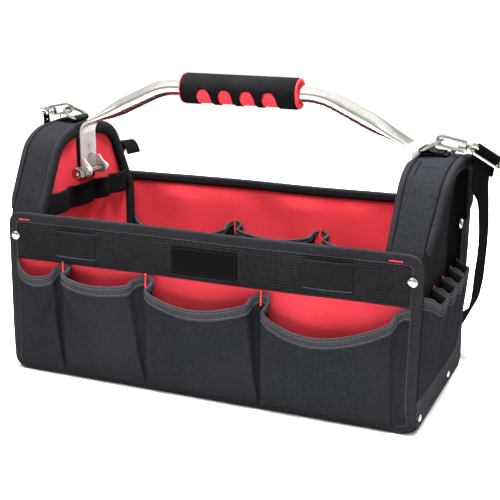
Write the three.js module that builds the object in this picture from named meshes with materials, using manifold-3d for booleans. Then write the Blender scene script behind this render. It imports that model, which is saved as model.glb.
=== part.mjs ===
// Open-topped tool bag: low long walls, stiff arched end walls, a bent steel tube handle with a foam
// grip, sewn pockets and a shoulder strap on two snap hooks.
// Millimetres, +Z up, the front faces -Y, and the origin is the middle of the underside of the base.
import * as THREE from 'three';
import { mergeVertices } from 'three/addons/utils/BufferGeometryUtils.js';
import Module from 'manifold-3d';

const wasm = await Module();
wasm.setup();

// Driving dimensions of the bag
const HALF_LENGTH = 215;
const HALF_DEPTH = 100;
const FRONT_HEIGHT = 169;
const BACK_HEIGHT = 180;
const BASE_THICK = 4;
const WALL = 2.5;
const END_THICK = 31;
const CLOTH = 2;
const GAP = 0.3;
const FOOT = BASE_THICK + GAP;
const PANEL_CORNER = 12;
const PANEL_FOOT_CORNER = 4;
const CORNER_STEPS = 5;

// Arch of an end wall: straight sides to SIDE_TOP, a slope to the shoulder, then a crown
const ARCH_HALF = HALF_DEPTH - WALL - GAP;
const SIDE_TOP = 166;
const SHOULDER_Y = 65;
const SHOULDER_DROP = 24;
const CROWN_HANDLES = [{ y: 56, drop: 8 }, { y: 36, drop: 0.6 }];
const CROWN_STEPS = 6;
const SPLAY_START = 175;
const KINK_HEIGHT = SPLAY_START + 2;
const KNEE_LIMIT = 0.99;
const ENDS = [
  { name: 'left', sign: -1, top: 249.5, outerSplay: 0, innerSplay: 0, plateX: 180.4 },
  { name: 'right', sign: 1, top: 242, outerSplay: 7, innerSplay: 2, plateX: 180.9 },
];

// Tape that binds the edges
const TAPE = 1.2;
const TAPE_WIDTH = 10;
const ARCH_TAPE_WIDTH = 11;
const ARCH_TAPE_FOLD = 9;
const INNER_TAPE_WIDTH = 9;
const TAPE_OVERLAP = 1.5;
const BOTTOM_TAPE = { inset: 3, bottom: 0.6, top: 8 };
const ARCH_TAPE_START = FRONT_HEIGHT + 3;
const BAND_THICK = 1.4;
const END_BAND_HEIGHT = 34;
const END_BAND_INSET = 0.5;
const REAR_BAND_TOP = 165;
const REAR_BAND_EDGE = 62;

// Webbing band on the front, with two loops and a blank patch
const BAND = { halfLength: 203.5, bottom: 121.5, top: 158.6 };
const BAND_LOOPS = [
  { name: 'band_loop_left', from: -158, to: -112, bottom: 126, top: 156 },
  { name: 'band_loop_right', from: 105, to: 153, bottom: 126, top: 157 },
];
const LOOP_BULGE = 3;
const LOOP_SHARES = [0, 0.08, 0.3, 0.5, 0.7, 0.92, 1];
const LOOP_POWER = 0.7;
const PATCH = { from: -29, to: 40, bottom: 127, top: 154, corner: 2 };

// Pocket rows: place along the wall, heights of the scooped mouth and how far each pocket stands out
const POCKET_CLOTH = 1.6;
const POCKET_BINDING_HEIGHT = 10;
const POCKET_BINDING_THICK = 1;
const POCKET_CLEAR = 0.35;
const FOOT_SHARE = 0.15;
const COLUMN_SHARES = [0, 0.04, 0.12, 0.28, 0.5, 0.72, 0.88, 0.96, 1];
const ROW_SHARES = [0, 0.35, 0.7, 1];
const MOUTH_POWER = 1.9;
const BULGE_POWER = 0.6;
const FRONT_POCKETS = [
  { from: -203, to: -151, left: 120.5, dip: 107, right: 120, dipAt: 0.48, bulge: 9 },
  { from: -151, to: -57, left: 119, dip: 106, right: 118, dipAt: 0.4, bulge: 11 },
  { from: -57, to: 65, left: 111, dip: 96, right: 117, dipAt: 0.42, bulge: 13 },
  { from: 65, to: 203, left: 106, dip: 85, right: 120.5, dipAt: 0.38, bulge: 14 },
];
const BACK_POCKETS = [
  { from: -179, to: -49, left: 128, dip: 108, right: 132, dipAt: 0.45, bulge: 10 },
  { from: -49, to: 54, left: 128, dip: 119, right: 132, dipAt: 0.5, bulge: 10 },
  { from: 54, to: 179, left: 126, dip: 117, right: 130, dipAt: 0.4, bulge: 10 },
];
const END_POCKETS = [
  { from: -96, to: -60, left: 130, dip: 122, right: 127, dipAt: 0.6, bulge: 10 },
  { from: -60, to: -24, left: 130, dip: 122, right: 127, dipAt: 0.6, bulge: 10 },
  { from: -24, to: 12, left: 130, dip: 122, right: 127, dipAt: 0.6, bulge: 10 },
  { from: 12, to: 46, left: 130, dip: 122, right: 127, dipAt: 0.6, bulge: 9 },
];
const LOOP_BAND = { bottom: 164, top: 186 };
const LOOP_BAND_LOOPS = [
  { from: -73, to: -39, bulge: 8 },
  { from: -39, to: 12, bulge: 8 },
  { from: 12, to: 45, bulge: 8 },
  { from: 45, to: 73, bulge: 8 },
];

// Handle: round tube between two flattened, turned-down ends
const TUBE_DIAMETER = 17;
const PLATE_WIDTH = 29;
const PLATE_THICK = 3.6;
const HANDLE_HEIGHT = 292.5;
const BEND_X = 85.5;
const BEND_REACH = 15.5;
const SLOPE = THREE.MathUtils.degToRad(25);
const KNEE_REACH = 10;
const PLATE_BOTTOM = 196;
const FLATTEN_FROM = 134;
const PLATE_HOLE = { z: 214, radius: 2, depth: 12 };
const PLATE_SQUARENESS = 0.4;
const TUBE_SIDES = 16;
const ROUND_STEPS = 5;
const SLOPE_SHARES = [0.34, 0.55, 0.7, 0.85];
const PLATE_SHARES = [0.5, 1];
const FLATTEN_END = ENDS[0].plateX - 2;
const TURN_SIDES = 24;
const GRIP_HALF = 62;
const GRIP_CORE_RADIUS = 13.2;
const GRIP_RADIUS = 15.6;
const CORE_OVERHANG = 2.5;
const CORE_BEVEL = 1.5;
const SKIN_BEVEL = { in: 1, along: 3 };
const FINGER = { count: 4, pitch: 24, width: 17, top: 3, first: -36 };

// Hinge bracket and bolt at the foot of each flattened end
const HINGE_HEIGHT = 200;
const HINGE_STAND = 6.2;
const KNUCKLE_RADIUS = 5;
const KNUCKLE_ARM = 4.5;
const KNUCKLES = [{ from: -19, to: -12 }, { from: 15, to: 22 }];
const BRACKET = { thick: 1.6, from: -19, to: 22, below: 4, belowHole: 4 };
const BOLT_RADIUS = 3;
const BOLT_PARTS = [
  { radius: BOLT_RADIUS, from: -38, to: 24, sides: TUBE_SIDES },
  { radius: 6.4, from: -28, to: -20, sides: TUBE_SIDES },
  { radius: 8, from: -40, to: -32, sides: 6 },
];
const ANCHOR_SHARES = [0, 0.4, 0.7, 1];
const ANCHOR = { half: 17, bottom: 189, topDrop: 13, thick: 1.2 };

// D-rings on top of the arches, seen from the middle of the bag outwards
const RING_WIRE = 1.8;
const RING_WIDTH = 30;
const RING_DEPTH = 18.5;
const RING_CORNER = 4;
const RING_ROUND = { side: 0.75, top: 0.62 };
const RING_STEPS = 4;
const RING_TILT = THREE.MathUtils.degToRad(30);
const RING_BAR_X = 188;
const RING_BAR_LIFT = 5.1;
const TAB_WIDTH = 22;
const TAB_THICK = 1.2;
const TAB_STEPS = 8;
const TAB_REACH = { under: 24, turn: 3, slope: 5, meet: 10, over: 20 };
const TAB_SLOPE = 0.75;

// Snap hooks: the nose points to the ring, the swivel points outwards
const HOOK_DROOP = THREE.MathUtils.degToRad(11);
const HOOK_OUTER = 6.2;
const HOOK_INNER = 3;
const HOOK_HALF_WIDTH = 2.6;
const HOOK_ROOT = { from: -23.5, to: -16.5 };
const NOSE_TIP = -2.2;
const GATE = { pivot: -20.5, height: -4.6, tail: -23, half: 1.3, halfWidth: 1.2, pin: 1, pinHole: 1.15 };
const THUMB = { from: -15.5, low: -15, high: -12, to: -10.5, drop: 2.6 };
const GATE_SLOT_TOP = -1.2;
const PIN_INSET = 0.4;
const PIN_SIDES = 12;
const EYE_STEPS = 12;
const LOOP_STEPS = 2;
const WIRE_SIDES = 8;
const SWIVEL = { radius: 3.2, end: -27, eye: 4.2, wire: 1.4, pull: 0.7 };
const STRAP_LOOP = { x: 244.85, y: 14.1, drop: 5.05, from: -23, to: 18.4, depth: 9, wire: 1.6, corner: 2 };
const LOOP_ALONG = { x: 0.475, y: 0.75, z: -0.46 };
// The loop leans in towards the bag: its upright before it is squared to the bars
const LOOP_UPRIGHT = { x: -0.22, y: 0.14, z: 0.86 };

// Shoulder strap
const STRAP_WIDTH = 32;
const STRAP_THICK = 1.8;
const STRAP_STEPS = 70;
const TAIL_STEPS = 12;
const FLOOR_RUN = { y: 127.5, z: 1.25 };
// Route on the right, from the hook down behind the corner to the floor; across is the way the webbing's width points
const STRAP_RIGHT = [
  { x: 241.5, y: 9, z: 225, ax: 0.475, ay: 0.75, az: -0.4 },
  { x: 240.9, y: 19, z: 210, ax: 0.25, ay: 0.95, az: -0.1 },
  { x: 239.8, y: 40, z: 180, ax: 0.165, ay: 0.9, az: 0.4 },
  { x: 238.2, y: 60, z: 152.5, ax: 0.09, ay: 0.89, az: 0.45 },
  { x: 233.2, y: 82, z: 119, ax: 0.15, ay: 0.88, az: 0.45 },
  { x: 227, y: 105, z: 80, ax: 0.17, ay: 0.87, az: 0.46 },
  { x: 216, y: 123, z: 49.6, ax: 0.2, ay: 0.86, az: 0.47 },
  { x: 190, y: 130, z: 27, ax: 0.05, ay: 0.95, az: 0.3 },
  { x: 164, y: 129, z: 10, ax: 0, ay: 1, az: 0.1 },
  { x: 130, y: FLOOR_RUN.y, z: 2, ax: 0, ay: 1, az: 0 },
  { x: 96, y: FLOOR_RUN.y, z: FLOOR_RUN.z, ax: 0, ay: 1, az: 0 },
  { x: 40, y: FLOOR_RUN.y, z: FLOOR_RUN.z, ax: 0, ay: 1, az: 0 },
];
// The route on the left is the same one the other way round, lifted near the top to meet the higher arch
const STRAP_LIFT = { from: 90, to: 178, height: 7.5 };
// Free end: it leaves the inner face of the strap behind the left corner, stands up and curls over towards the bag
const TAIL_SEAT = { z: 96, steps: 3, lift: 1.6 };
const TAIL_ROUTE = [
  { x: -224.6, y: 106.5, z: 128, ax: -0.05, ay: 0.95, az: 0.3 },
  { x: -221.5, y: 109, z: 156, ax: 0.25, ay: 0.95, az: 0.1 },
  { x: -214, y: 112, z: 186, ax: 0.32, ay: 0.94, az: 0 },
  { x: -205.4, y: 114.5, z: 206, ax: 0.35, ay: 0.94, az: 0 },
  { x: -199.5, y: 114.5, z: 212.5, ax: 0.35, ay: 0.94, az: 0 },
  { x: -192, y: 112.5, z: 210, ax: 0.35, ay: 0.94, az: 0 },
  { x: -186, y: 111, z: 199, ax: 0.35, ay: 0.94, az: 0 },
];
const TAIL_WIDTH = 20;

// Snaps and rivets
const SNAP = { radius: 4.6, height: 2.4, seat: 0.5 };
const DOME_PROFILE = [
  { r: 0, h: 0 }, { r: 1, h: 0 }, { r: 1, h: 0.35 }, { r: 0.72, h: 0.85 }, { r: 0, h: 1 },
];
const END_SNAP_PROFILE = [
  { r: 1.6, h: 0 }, { r: 5.2, h: 0 }, { r: 5.2, h: 1.2 },
  { r: 3.6, h: 2.2 }, { r: 1.6, h: 1.4 }, { r: 1.6, h: 0 },
];
const RIVET = { radius: 3.4, height: 1.6 };
const FRONT_SNAP = { x: 207, z: 146 };
const END_SNAP = { y: 54, z: 166 };
const END_RIVETS = [
  { name: 'end_rivet_front', y: -88, z: 14 },
  { name: 'end_rivet_rear', y: 30, z: 14 },
];

// Finishes
function finish(color, roughness, metalness) {
  return new THREE.MeshStandardMaterial({ color, roughness, metalness });
}

const BLACK_CLOTH = finish(0x26262a, 0.9, 0);
const RED_CLOTH = finish(0xc8202c, 0.85, 0);
const GREY_TAPE = finish(0x3a3a3f, 0.85, 0);
const BLACK_WEBBING = finish(0x1c1c1f, 0.8, 0);
const STEEL = finish(0xd9d6d0, 0.25, 1);
const BLACK_FOAM = finish(0x1a1a1c, 0.95, 0);
const RED_FOAM = finish(0xd01f2b, 0.8, 0);

const bag = new THREE.Group();
const vec = (x, y, z) => new THREE.Vector3(x, y, z);
const { lerp, smoothstep } = THREE.MathUtils;

function addPiece(name, geometry, material) {
  const mesh = new THREE.Mesh(geometry, material);
  mesh.name = name;
  bag.add(mesh);
}

// Closed body from points and triangles, turned so that its faces point out
function body(points, faces) {
  let volume = 0;
  for (const [a, b, c] of faces) {
    volume += points[a].dot(points[b].clone().cross(points[c]));
  }
  const index = faces.flatMap(([a, b, c]) => (volume > 0 ? [a, b, c] : [a, c, b]));
  const geometry = new THREE.BufferGeometry();
  geometry.setAttribute('position', new THREE.Float32BufferAttribute(points.flatMap((p) => p.toArray()), 3));
  geometry.setIndex(index);
  geometry.computeVertexNormals();
  return geometry;
}

// Triangles of a flat ring of points, all turned the way the ring runs
function capFaces(ring) {
  const normal = vec(0, 0, 0);
  ring.forEach((p, i) => normal.add(p.clone().cross(ring[(i + 1) % ring.length])));
  normal.normalize();
  const side = ring[1].clone().sub(ring[0]).normalize();
  const up = normal.clone().cross(side);
  const flat = ring.map((p) => new THREE.Vector2(p.dot(side), p.dot(up)));
  return THREE.ShapeUtils.triangulateShape(flat, []).map(([a, b, c]) => {
    const turn = flat[b].clone().sub(flat[a]).cross(flat[c].clone().sub(flat[a]));
    return turn > 0 ? [a, b, c] : [a, c, b];
  });
}

// Body through a row of rings with equal counts; a loop has no ends, any other row is capped
function loft(rings, loop = false) {
  const count = rings[0].length;
  const faces = [];
  const spans = loop ? rings.length : rings.length - 1;
  for (let i = 0; i < spans; i++) {
    const here = i * count;
    const next = ((i + 1) % rings.length) * count;
    for (let j = 0; j < count; j++) {
      const k = (j + 1) % count;
      faces.push([here + j, here + k, next + k], [here + j, next + k, next + j]);
    }
  }
  if (!loop) {
    const end = (rings.length - 1) * count;
    capFaces(rings[0]).forEach(([a, b, c]) => faces.push([a, c, b]));
    capFaces(rings[rings.length - 1]).forEach(([a, b, c]) => faces.push([end + a, end + b, end + c]));
  }
  return body(rings.flat(), faces);
}

// Thin wall between two grids of points that match row for row
function shell(outer, inner) {
  const rows = outer.length;
  const columns = outer[0].length;
  const points = [...outer.flat(), ...inner.flat()];
  const at = (layer, i, j) => layer * rows * columns + i * columns + j;
  const faces = [];
  const quad = (a, b, c, d) => faces.push([a, b, c], [a, c, d]);
  for (let i = 0; i < rows - 1; i++) {
    for (let j = 0; j < columns - 1; j++) {
      quad(at(0, i, j), at(0, i + 1, j), at(0, i + 1, j + 1), at(0, i, j + 1));
      quad(at(1, i, j), at(1, i, j + 1), at(1, i + 1, j + 1), at(1, i + 1, j));
    }
    quad(at(0, i, 0), at(1, i, 0), at(1, i + 1, 0), at(0, i + 1, 0));
    const j = columns - 1;
    quad(at(0, i, j), at(0, i + 1, j), at(1, i + 1, j), at(1, i, j));
  }
  for (let j = 0; j < columns - 1; j++) {
    const i = rows - 1;
    quad(at(0, 0, j), at(0, 0, j + 1), at(1, 0, j + 1), at(1, 0, j));
    quad(at(0, i, j), at(1, i, j), at(1, i, j + 1), at(0, i, j + 1));
  }
  return body(points, faces);
}

function box(lo, hi) {
  const size = hi.map((value, i) => value - lo[i]);
  const middle = hi.map((value, i) => (value + lo[i]) / 2);
  return new THREE.BoxGeometry(...size).translate(...middle);
}

function toManifold(geometry) {
  const bare = geometry.clone();
  bare.deleteAttribute('normal');
  bare.deleteAttribute('uv');
  const merged = mergeVertices(bare, 1e-4);
  return new wasm.Manifold(new wasm.Mesh({
    numProp: 3,
    vertProperties: new Float32Array(merged.attributes.position.array),
    triVerts: new Uint32Array(merged.index.array),
  }));
}

function fromManifold(manifold) {
  const mesh = manifold.getMesh();
  const geometry = new THREE.BufferGeometry();
  geometry.setAttribute('position', new THREE.Float32BufferAttribute(mesh.vertProperties, 3));
  geometry.setIndex([...mesh.triVerts]);
  geometry.computeVertexNormals();
  return geometry;
}

const join = (...parts) => fromManifold(parts.map(toManifold).reduce((a, b) => a.add(b)));
const cut = (whole, ...tools) => fromManifold(
  tools.map(toManifold).reduce((a, b) => a.subtract(b), toManifold(whole)),
);

// Outline of a rectangle with rounded corners, as points
function roundedRectangle(x0, y0, x1, y1, bottom, top) {
  const shape = new THREE.Shape();
  shape.moveTo(x0 + bottom, y0);
  shape.lineTo(x1 - bottom, y0);
  shape.absarc(x1 - bottom, y0 + bottom, bottom, -Math.PI / 2, 0);
  shape.lineTo(x1, y1 - top);
  shape.absarc(x1 - top, y1 - top, top, 0, Math.PI / 2);
  shape.lineTo(x0 + top, y1);
  shape.absarc(x0 + top, y1 - top, top, Math.PI / 2, Math.PI);
  shape.lineTo(x0, y0 + bottom);
  shape.absarc(x0 + bottom, y0 + bottom, bottom, Math.PI, 1.5 * Math.PI);
  return shape;
}

function extrude(shape, depth) {
  return new THREE.ExtrudeGeometry(shape, { depth, bevelEnabled: false, curveSegments: CORNER_STEPS });
}

// Base and long walls
function makeBase() {
  const corner = PANEL_CORNER;
  const shape = roundedRectangle(-HALF_LENGTH, -HALF_DEPTH, HALF_LENGTH, HALF_DEPTH, corner, corner);
  addPiece('base_panel', extrude(shape, BASE_THICK), BLACK_CLOTH);
}

function longWall(height, innerY) {
  const shape = roundedRectangle(-HALF_LENGTH, FOOT, HALF_LENGTH, height, PANEL_FOOT_CORNER, PANEL_CORNER);
  return extrude(shape, WALL).rotateX(Math.PI / 2).translate(0, innerY, 0);
}

// Tape over the top and side edges of a long wall; facing is -1 in front and +1 behind
function edgeBinding(height, facing) {
  const path = [];
  path.push({ x: -HALF_LENGTH, z: BOTTOM_TAPE.top + GAP, nx: -1, nz: 0 });
  for (const side of [-1, 1]) {
    for (let i = 0; i <= CORNER_STEPS; i++) {
      const turn = i / CORNER_STEPS;
      const angle = (Math.PI / 2) * (side < 0 ? 1 - turn : turn);
      const nx = side * Math.sin(angle);
      const nz = Math.cos(angle);
      const x = side * (HALF_LENGTH - PANEL_CORNER) + PANEL_CORNER * nx;
      path.push({ x, z: height - PANEL_CORNER + PANEL_CORNER * nz, nx, nz });
    }
  }
  path.push({ x: HALF_LENGTH, z: BOTTOM_TAPE.top + GAP, nx: 1, nz: 0 });
  const outside = HALF_DEPTH + GAP + TAPE;
  const section = [
    { n: -TAPE_WIDTH, d: outside },
    { n: GAP + TAPE, d: outside },
    { n: GAP + TAPE, d: HALF_DEPTH - WALL },
    { n: GAP, d: HALF_DEPTH - WALL },
    { n: GAP, d: HALF_DEPTH + GAP },
    { n: -TAPE_WIDTH, d: HALF_DEPTH + GAP },
  ];
  const rings = path.map((p) => section.map((s) => vec(p.x + s.n * p.nx, facing * s.d, p.z + s.n * p.nz)));
  const half = HALF_LENGTH - END_THICK - CLOTH;
  const top = height + GAP + TAPE;
  const innerFace = HALF_DEPTH - WALL - GAP;
  const span = (near, far) => [Math.min(facing * near, facing * far), Math.max(facing * near, facing * far)];
  const [legLo, legHi] = span(innerFace - TAPE, innerFace);
  const [lidLo, lidHi] = span(innerFace - TAPE, HALF_DEPTH - WALL + TAPE_OVERLAP);
  const leg = box([-half, legLo, height - INNER_TAPE_WIDTH], [half, legHi, top]);
  const lid = box([-half, lidLo, height + GAP], [half, lidHi, top]);
  return join(loft(rings), leg, lid);
}

function bottomBinding(facing) {
  const near = facing * (HALF_DEPTH + GAP);
  const far = facing * (HALF_DEPTH + GAP + TAPE);
  const half = HALF_LENGTH - BOTTOM_TAPE.inset;
  return box([-half, Math.min(near, far), BOTTOM_TAPE.bottom], [half, Math.max(near, far), BOTTOM_TAPE.top]);
}

// End walls: offset runs from the outer face into the bag
function wallX(end, offset, z) {
  const rise = Math.max(0, (z - SPLAY_START) / (end.top - SPLAY_START));
  const splay = lerp(end.outerSplay, end.innerSplay, offset / END_THICK);
  return end.sign * (HALF_LENGTH - offset + splay * rise);
}

// Arch from the front side to the back side, with the outward direction at each point
function archPath(end) {
  const crown = new THREE.CubicBezierCurve(
    new THREE.Vector2(SHOULDER_Y, end.top - SHOULDER_DROP),
    ...CROWN_HANDLES.map((h) => new THREE.Vector2(h.y, end.top - h.drop)),
    new THREE.Vector2(0, end.top),
  );
  const side = new THREE.Vector2(ARCH_HALF, SIDE_TOP);
  const kink = (KINK_HEIGHT - SIDE_TOP) / (end.top - SHOULDER_DROP - SIDE_TOP);
  const half = [side, side.clone().lerp(crown.v0, kink), ...crown.getPoints(CROWN_STEPS)];
  const front = half.map((p) => ({ y: -p.x, z: p.y }));
  const back = half.map((p) => ({ y: p.x, z: p.y })).reverse().slice(1);
  return withOutward([...front, ...back]);
}

function withOutward(points) {
  return points.map((p, i) => {
    const a = points[Math.max(i - 1, 0)];
    const b = points[Math.min(i + 1, points.length - 1)];
    const length = Math.hypot(b.y - a.y, b.z - a.z);
    return { y: p.y, z: p.z, ny: -(b.z - a.z) / length, nz: (b.y - a.y) / length };
  });
}

function archPanel(end, near, far) {
  const layer = (offset) => archPath(end).map((c) => {
    const knee = Math.min(SPLAY_START, lerp(FOOT, c.z, KNEE_LIMIT));
    const heights = [FOOT, knee, c.z];
    return heights.map((z) => vec(wallX(end, offset, z), c.y, z));
  });
  return shell(layer(near), layer(far));
}

function gusset(end) {
  const arch = archPath(end);
  const foot = (y) => ({ y, z: FOOT, ny: Math.sign(y), nz: 0 });
  const path = [foot(-ARCH_HALF), ...arch, foot(ARCH_HALF)];
  path[1] = { ...path[1], ny: -1, nz: 0 };
  path[path.length - 2] = { ...path[path.length - 2], ny: 1, nz: 0 };
  const near = CLOTH + GAP;
  const far = END_THICK - CLOTH - GAP;
  const section = [[near, 0], [far, 0], [far, -CLOTH], [near, -CLOTH]];
  return loft(path.map((p) => archRing(end, p, section)));
}

function archRing(end, p, section) {
  return section.map(([offset, out]) => {
    const z = p.z + out * p.nz;
    return vec(wallX(end, offset, z), p.y + out * p.ny, z);
  });
}

// Tape over one edge of the arch, from just above the front wall round to the same height behind
function archBinding(end, inside) {
  const arch = archPath(end);
  const [foot, kink] = arch;
  const height = ARCH_TAPE_START;
  const y = lerp(foot.y, kink.y, (height - foot.z) / (kink.z - foot.z));
  const path = withOutward([{ y, z: height }, ...arch.slice(1, -1), { y: -y, z: height }]);
  const lip = GAP + TAPE;
  const face = inside ? END_THICK + GAP : -GAP;
  const step = inside ? 1 : -1;
  const skin = face + step * TAPE;
  const fold = skin - step * ARCH_TAPE_FOLD;
  const section = [
    [skin, -ARCH_TAPE_WIDTH], [skin, lip], [fold, lip], [fold, GAP], [face, GAP], [face, -ARCH_TAPE_WIDTH],
  ];
  const tape = loft(path.map((p) => archRing(end, p, section)));
  if (!inside) {
    return tape;
  }
  const x0 = wallX(end, face, FOOT);
  const x1 = wallX(end, skin, FOOT);
  const strips = [-1, 1].map((side) => {
    const edge = side * (ARCH_HALF - GAP);
    const inner = side * (ARCH_HALF - TAPE_WIDTH);
    const lo = [Math.min(x0, x1), Math.min(edge, inner), FOOT + GAP];
    return box(lo, [Math.max(x0, x1), Math.max(edge, inner), FRONT_HEIGHT]);
  });
  return join(tape, ...strips);
}

// Band along the foot of an end wall and up its rear edge
function endBand(end) {
  const half = ARCH_HALF - END_BAND_INSET;
  const foot = FOOT + GAP;
  const outline = [
    [-half, foot], [half, foot], [half, REAR_BAND_TOP], [REAR_BAND_EDGE, REAR_BAND_TOP],
    [REAR_BAND_EDGE, END_BAND_HEIGHT], [-half, END_BAND_HEIGHT],
  ];
  const ring = (offset) => outline.map(([y, z]) => vec(wallX(end, offset, z), y, z));
  return loft([ring(-GAP), ring(-GAP - BAND_THICK)]);
}

function makeBody() {
  addPiece('front_panel', longWall(FRONT_HEIGHT, WALL - HALF_DEPTH), RED_CLOTH);
  addPiece('back_panel', longWall(BACK_HEIGHT, HALF_DEPTH), RED_CLOTH);
  addPiece('front_edge_binding', edgeBinding(FRONT_HEIGHT, -1), GREY_TAPE);
  addPiece('back_edge_binding', edgeBinding(BACK_HEIGHT, 1), GREY_TAPE);
  addPiece('bottom_binding_front', bottomBinding(-1), GREY_TAPE);
  addPiece('bottom_binding_back', bottomBinding(1), GREY_TAPE);
  for (const end of ENDS) {
    addPiece(`end_outer_${end.name}`, archPanel(end, 0, CLOTH), BLACK_CLOTH);
    addPiece(`end_lining_${end.name}`, archPanel(end, END_THICK - CLOTH, END_THICK), RED_CLOTH);
    addPiece(`end_gusset_${end.name}`, gusset(end), BLACK_CLOTH);
    addPiece(`arch_binding_outer_${end.name}`, archBinding(end, false), GREY_TAPE);
    addPiece(`arch_binding_inner_${end.name}`, archBinding(end, true), GREY_TAPE);
    addPiece(`end_base_band_${end.name}`, endBand(end), BLACK_CLOTH);
  }
}

// Webbing band with loops and a blank patch on the front wall
function makeFrontBand() {
  const back = -HALF_DEPTH - GAP;
  const face = back - BAND_THICK;
  const lo = [-BAND.halfLength, face, BAND.bottom];
  addPiece('front_webbing_band', box(lo, [BAND.halfLength, back, BAND.top]), BLACK_WEBBING);
  for (const loop of BAND_LOOPS) {
    const layer = (stand) => LOOP_SHARES.map((share) => {
      const y = face - GAP - stand - LOOP_BULGE * Math.sin(Math.PI * share) ** LOOP_POWER;
      return [loop.bottom, loop.top].map((z) => vec(lerp(loop.from, loop.to, share), y, z));
    });
    addPiece(loop.name, shell(layer(TAPE), layer(0)), BLACK_WEBBING);
  }
  const patch = roundedRectangle(PATCH.from, PATCH.bottom, PATCH.to, PATCH.top, PATCH.corner, PATCH.corner);
  const plate = extrude(patch, TAPE).rotateX(Math.PI / 2).translate(0, face - GAP, 0);
  addPiece('band_patch', plate, BLACK_WEBBING);
}

// Pocket rows: place(along, out, z) puts a point at a distance from the wall
function mouth(pocket, share) {
  const before = share < pocket.dipAt;
  const run = before ? 1 - share / pocket.dipAt : (share - pocket.dipAt) / (1 - pocket.dipAt);
  return lerp(pocket.dip, before ? pocket.left : pocket.right, run ** MOUTH_POWER);
}

function pocketColumns(pockets, foot) {
  return pockets.flatMap((pocket, i) => COLUMN_SHARES.slice(i ? 1 : 0).map((share) => {
    const top = mouth(pocket, share);
    const stand = pocket.bulge * Math.sin(Math.PI * share) ** BULGE_POWER;
    const out = (z) => stand * lerp(FOOT_SHARE, 1, (z - foot) / (pocket.left - foot));
    return { along: lerp(pocket.from, pocket.to, share), top, out };
  }));
}

function pocketRow(pockets, foot, place) {
  const columns = pocketColumns(pockets, foot);
  const layer = (clear) => columns.map((c) => ROW_SHARES.map((share) => {
    const z = lerp(foot, c.top, share);
    return place(c.along, clear + c.out(z), z);
  }));
  return shell(layer(POCKET_CLEAR), layer(POCKET_CLEAR + POCKET_CLOTH));
}

function pocketBinding(pockets, foot, place) {
  const columns = pocketColumns(pockets, foot);
  const clear = POCKET_CLEAR + POCKET_CLOTH + GAP;
  const layer = (stand) => columns.map((c) => [c.top - POCKET_BINDING_HEIGHT, c.top].map((z) => (
    place(c.along, stand + c.out(z), z)
  )));
  return shell(layer(clear), layer(clear + POCKET_BINDING_THICK));
}

function makePockets() {
  const front = (along, out, z) => vec(along, -HALF_DEPTH - out, z);
  const frontFoot = BOTTOM_TAPE.top + GAP;
  addPiece('front_pockets', pocketRow(FRONT_POCKETS, frontFoot, front), BLACK_CLOTH);
  addPiece('front_pockets_binding', pocketBinding(FRONT_POCKETS, frontFoot, front), GREY_TAPE);
  const back = (along, out, z) => vec(along, HALF_DEPTH - WALL - out, z);
  const backFoot = FOOT + GAP;
  addPiece('back_inner_pockets', pocketRow(BACK_POCKETS, backFoot, back), BLACK_CLOTH);
  addPiece('back_inner_pockets_binding', pocketBinding(BACK_POCKETS, backFoot, back), GREY_TAPE);
  const right = (along, out, z) => vec(HALF_LENGTH + out, along, z);
  const rightFoot = END_BAND_HEIGHT + GAP;
  addPiece('right_end_pockets', pocketRow(END_POCKETS, rightFoot, right), BLACK_CLOTH);
  addPiece('right_end_pockets_binding', pocketBinding(END_POCKETS, rightFoot, right), GREY_TAPE);
}

function makeLoopBand() {
  const columns = LOOP_BAND_LOOPS.flatMap((loop, i) => COLUMN_SHARES.slice(i ? 1 : 0).map((share) => (
    { y: lerp(loop.from, loop.to, share), out: loop.bulge * Math.sin(Math.PI * share) ** BULGE_POWER }
  )));
  const layer = (stand) => columns.map((c) => [LOOP_BAND.bottom, LOOP_BAND.top].map((z) => (
    vec(END_THICK - HALF_LENGTH + stand + c.out, c.y, z)
  )));
  addPiece('left_loop_band', shell(layer(GAP), layer(GAP + CLOTH)), BLACK_WEBBING);
}

// Handle: stations along the tube with the share of flattening
function handleStations() {
  const straight = new THREE.Vector2(-Math.cos(SLOPE), Math.sin(SLOPE));
  const halfRoute = (end) => {
    const bend = new THREE.Vector2(BEND_X, HANDLE_HEIGHT);
    const bendEnd = bend.clone().addScaledVector(straight, -BEND_REACH);
    const kneeHeight = HANDLE_HEIGHT - (end.plateX - BEND_X) * Math.tan(SLOPE);
    const knee = new THREE.Vector2(end.plateX, kneeHeight);
    const kneeStart = knee.clone().addScaledVector(straight, KNEE_REACH);
    const kneeEnd = new THREE.Vector2(end.plateX, kneeHeight - KNEE_REACH);
    const bendStart = new THREE.Vector2(BEND_X - BEND_REACH, HANDLE_HEIGHT);
    const upper = new THREE.QuadraticBezierCurve(bendStart, bend, bendEnd);
    const lower = new THREE.QuadraticBezierCurve(kneeStart, knee, kneeEnd);
    const slope = SLOPE_SHARES.map((share) => bendEnd.clone().lerp(kneeStart, share));
    const foot = new THREE.Vector2(end.plateX, PLATE_BOTTOM);
    const plate = PLATE_SHARES.map((share) => kneeEnd.clone().lerp(foot, share));
    return [...upper.getPoints(ROUND_STEPS), ...slope, ...lower.getPoints(ROUND_STEPS), ...plate];
  };
  const left = halfRoute(ENDS[0]).map((p) => new THREE.Vector2(-p.x, p.y)).reverse();
  return [...left, ...halfRoute(ENDS[1])];
}

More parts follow.
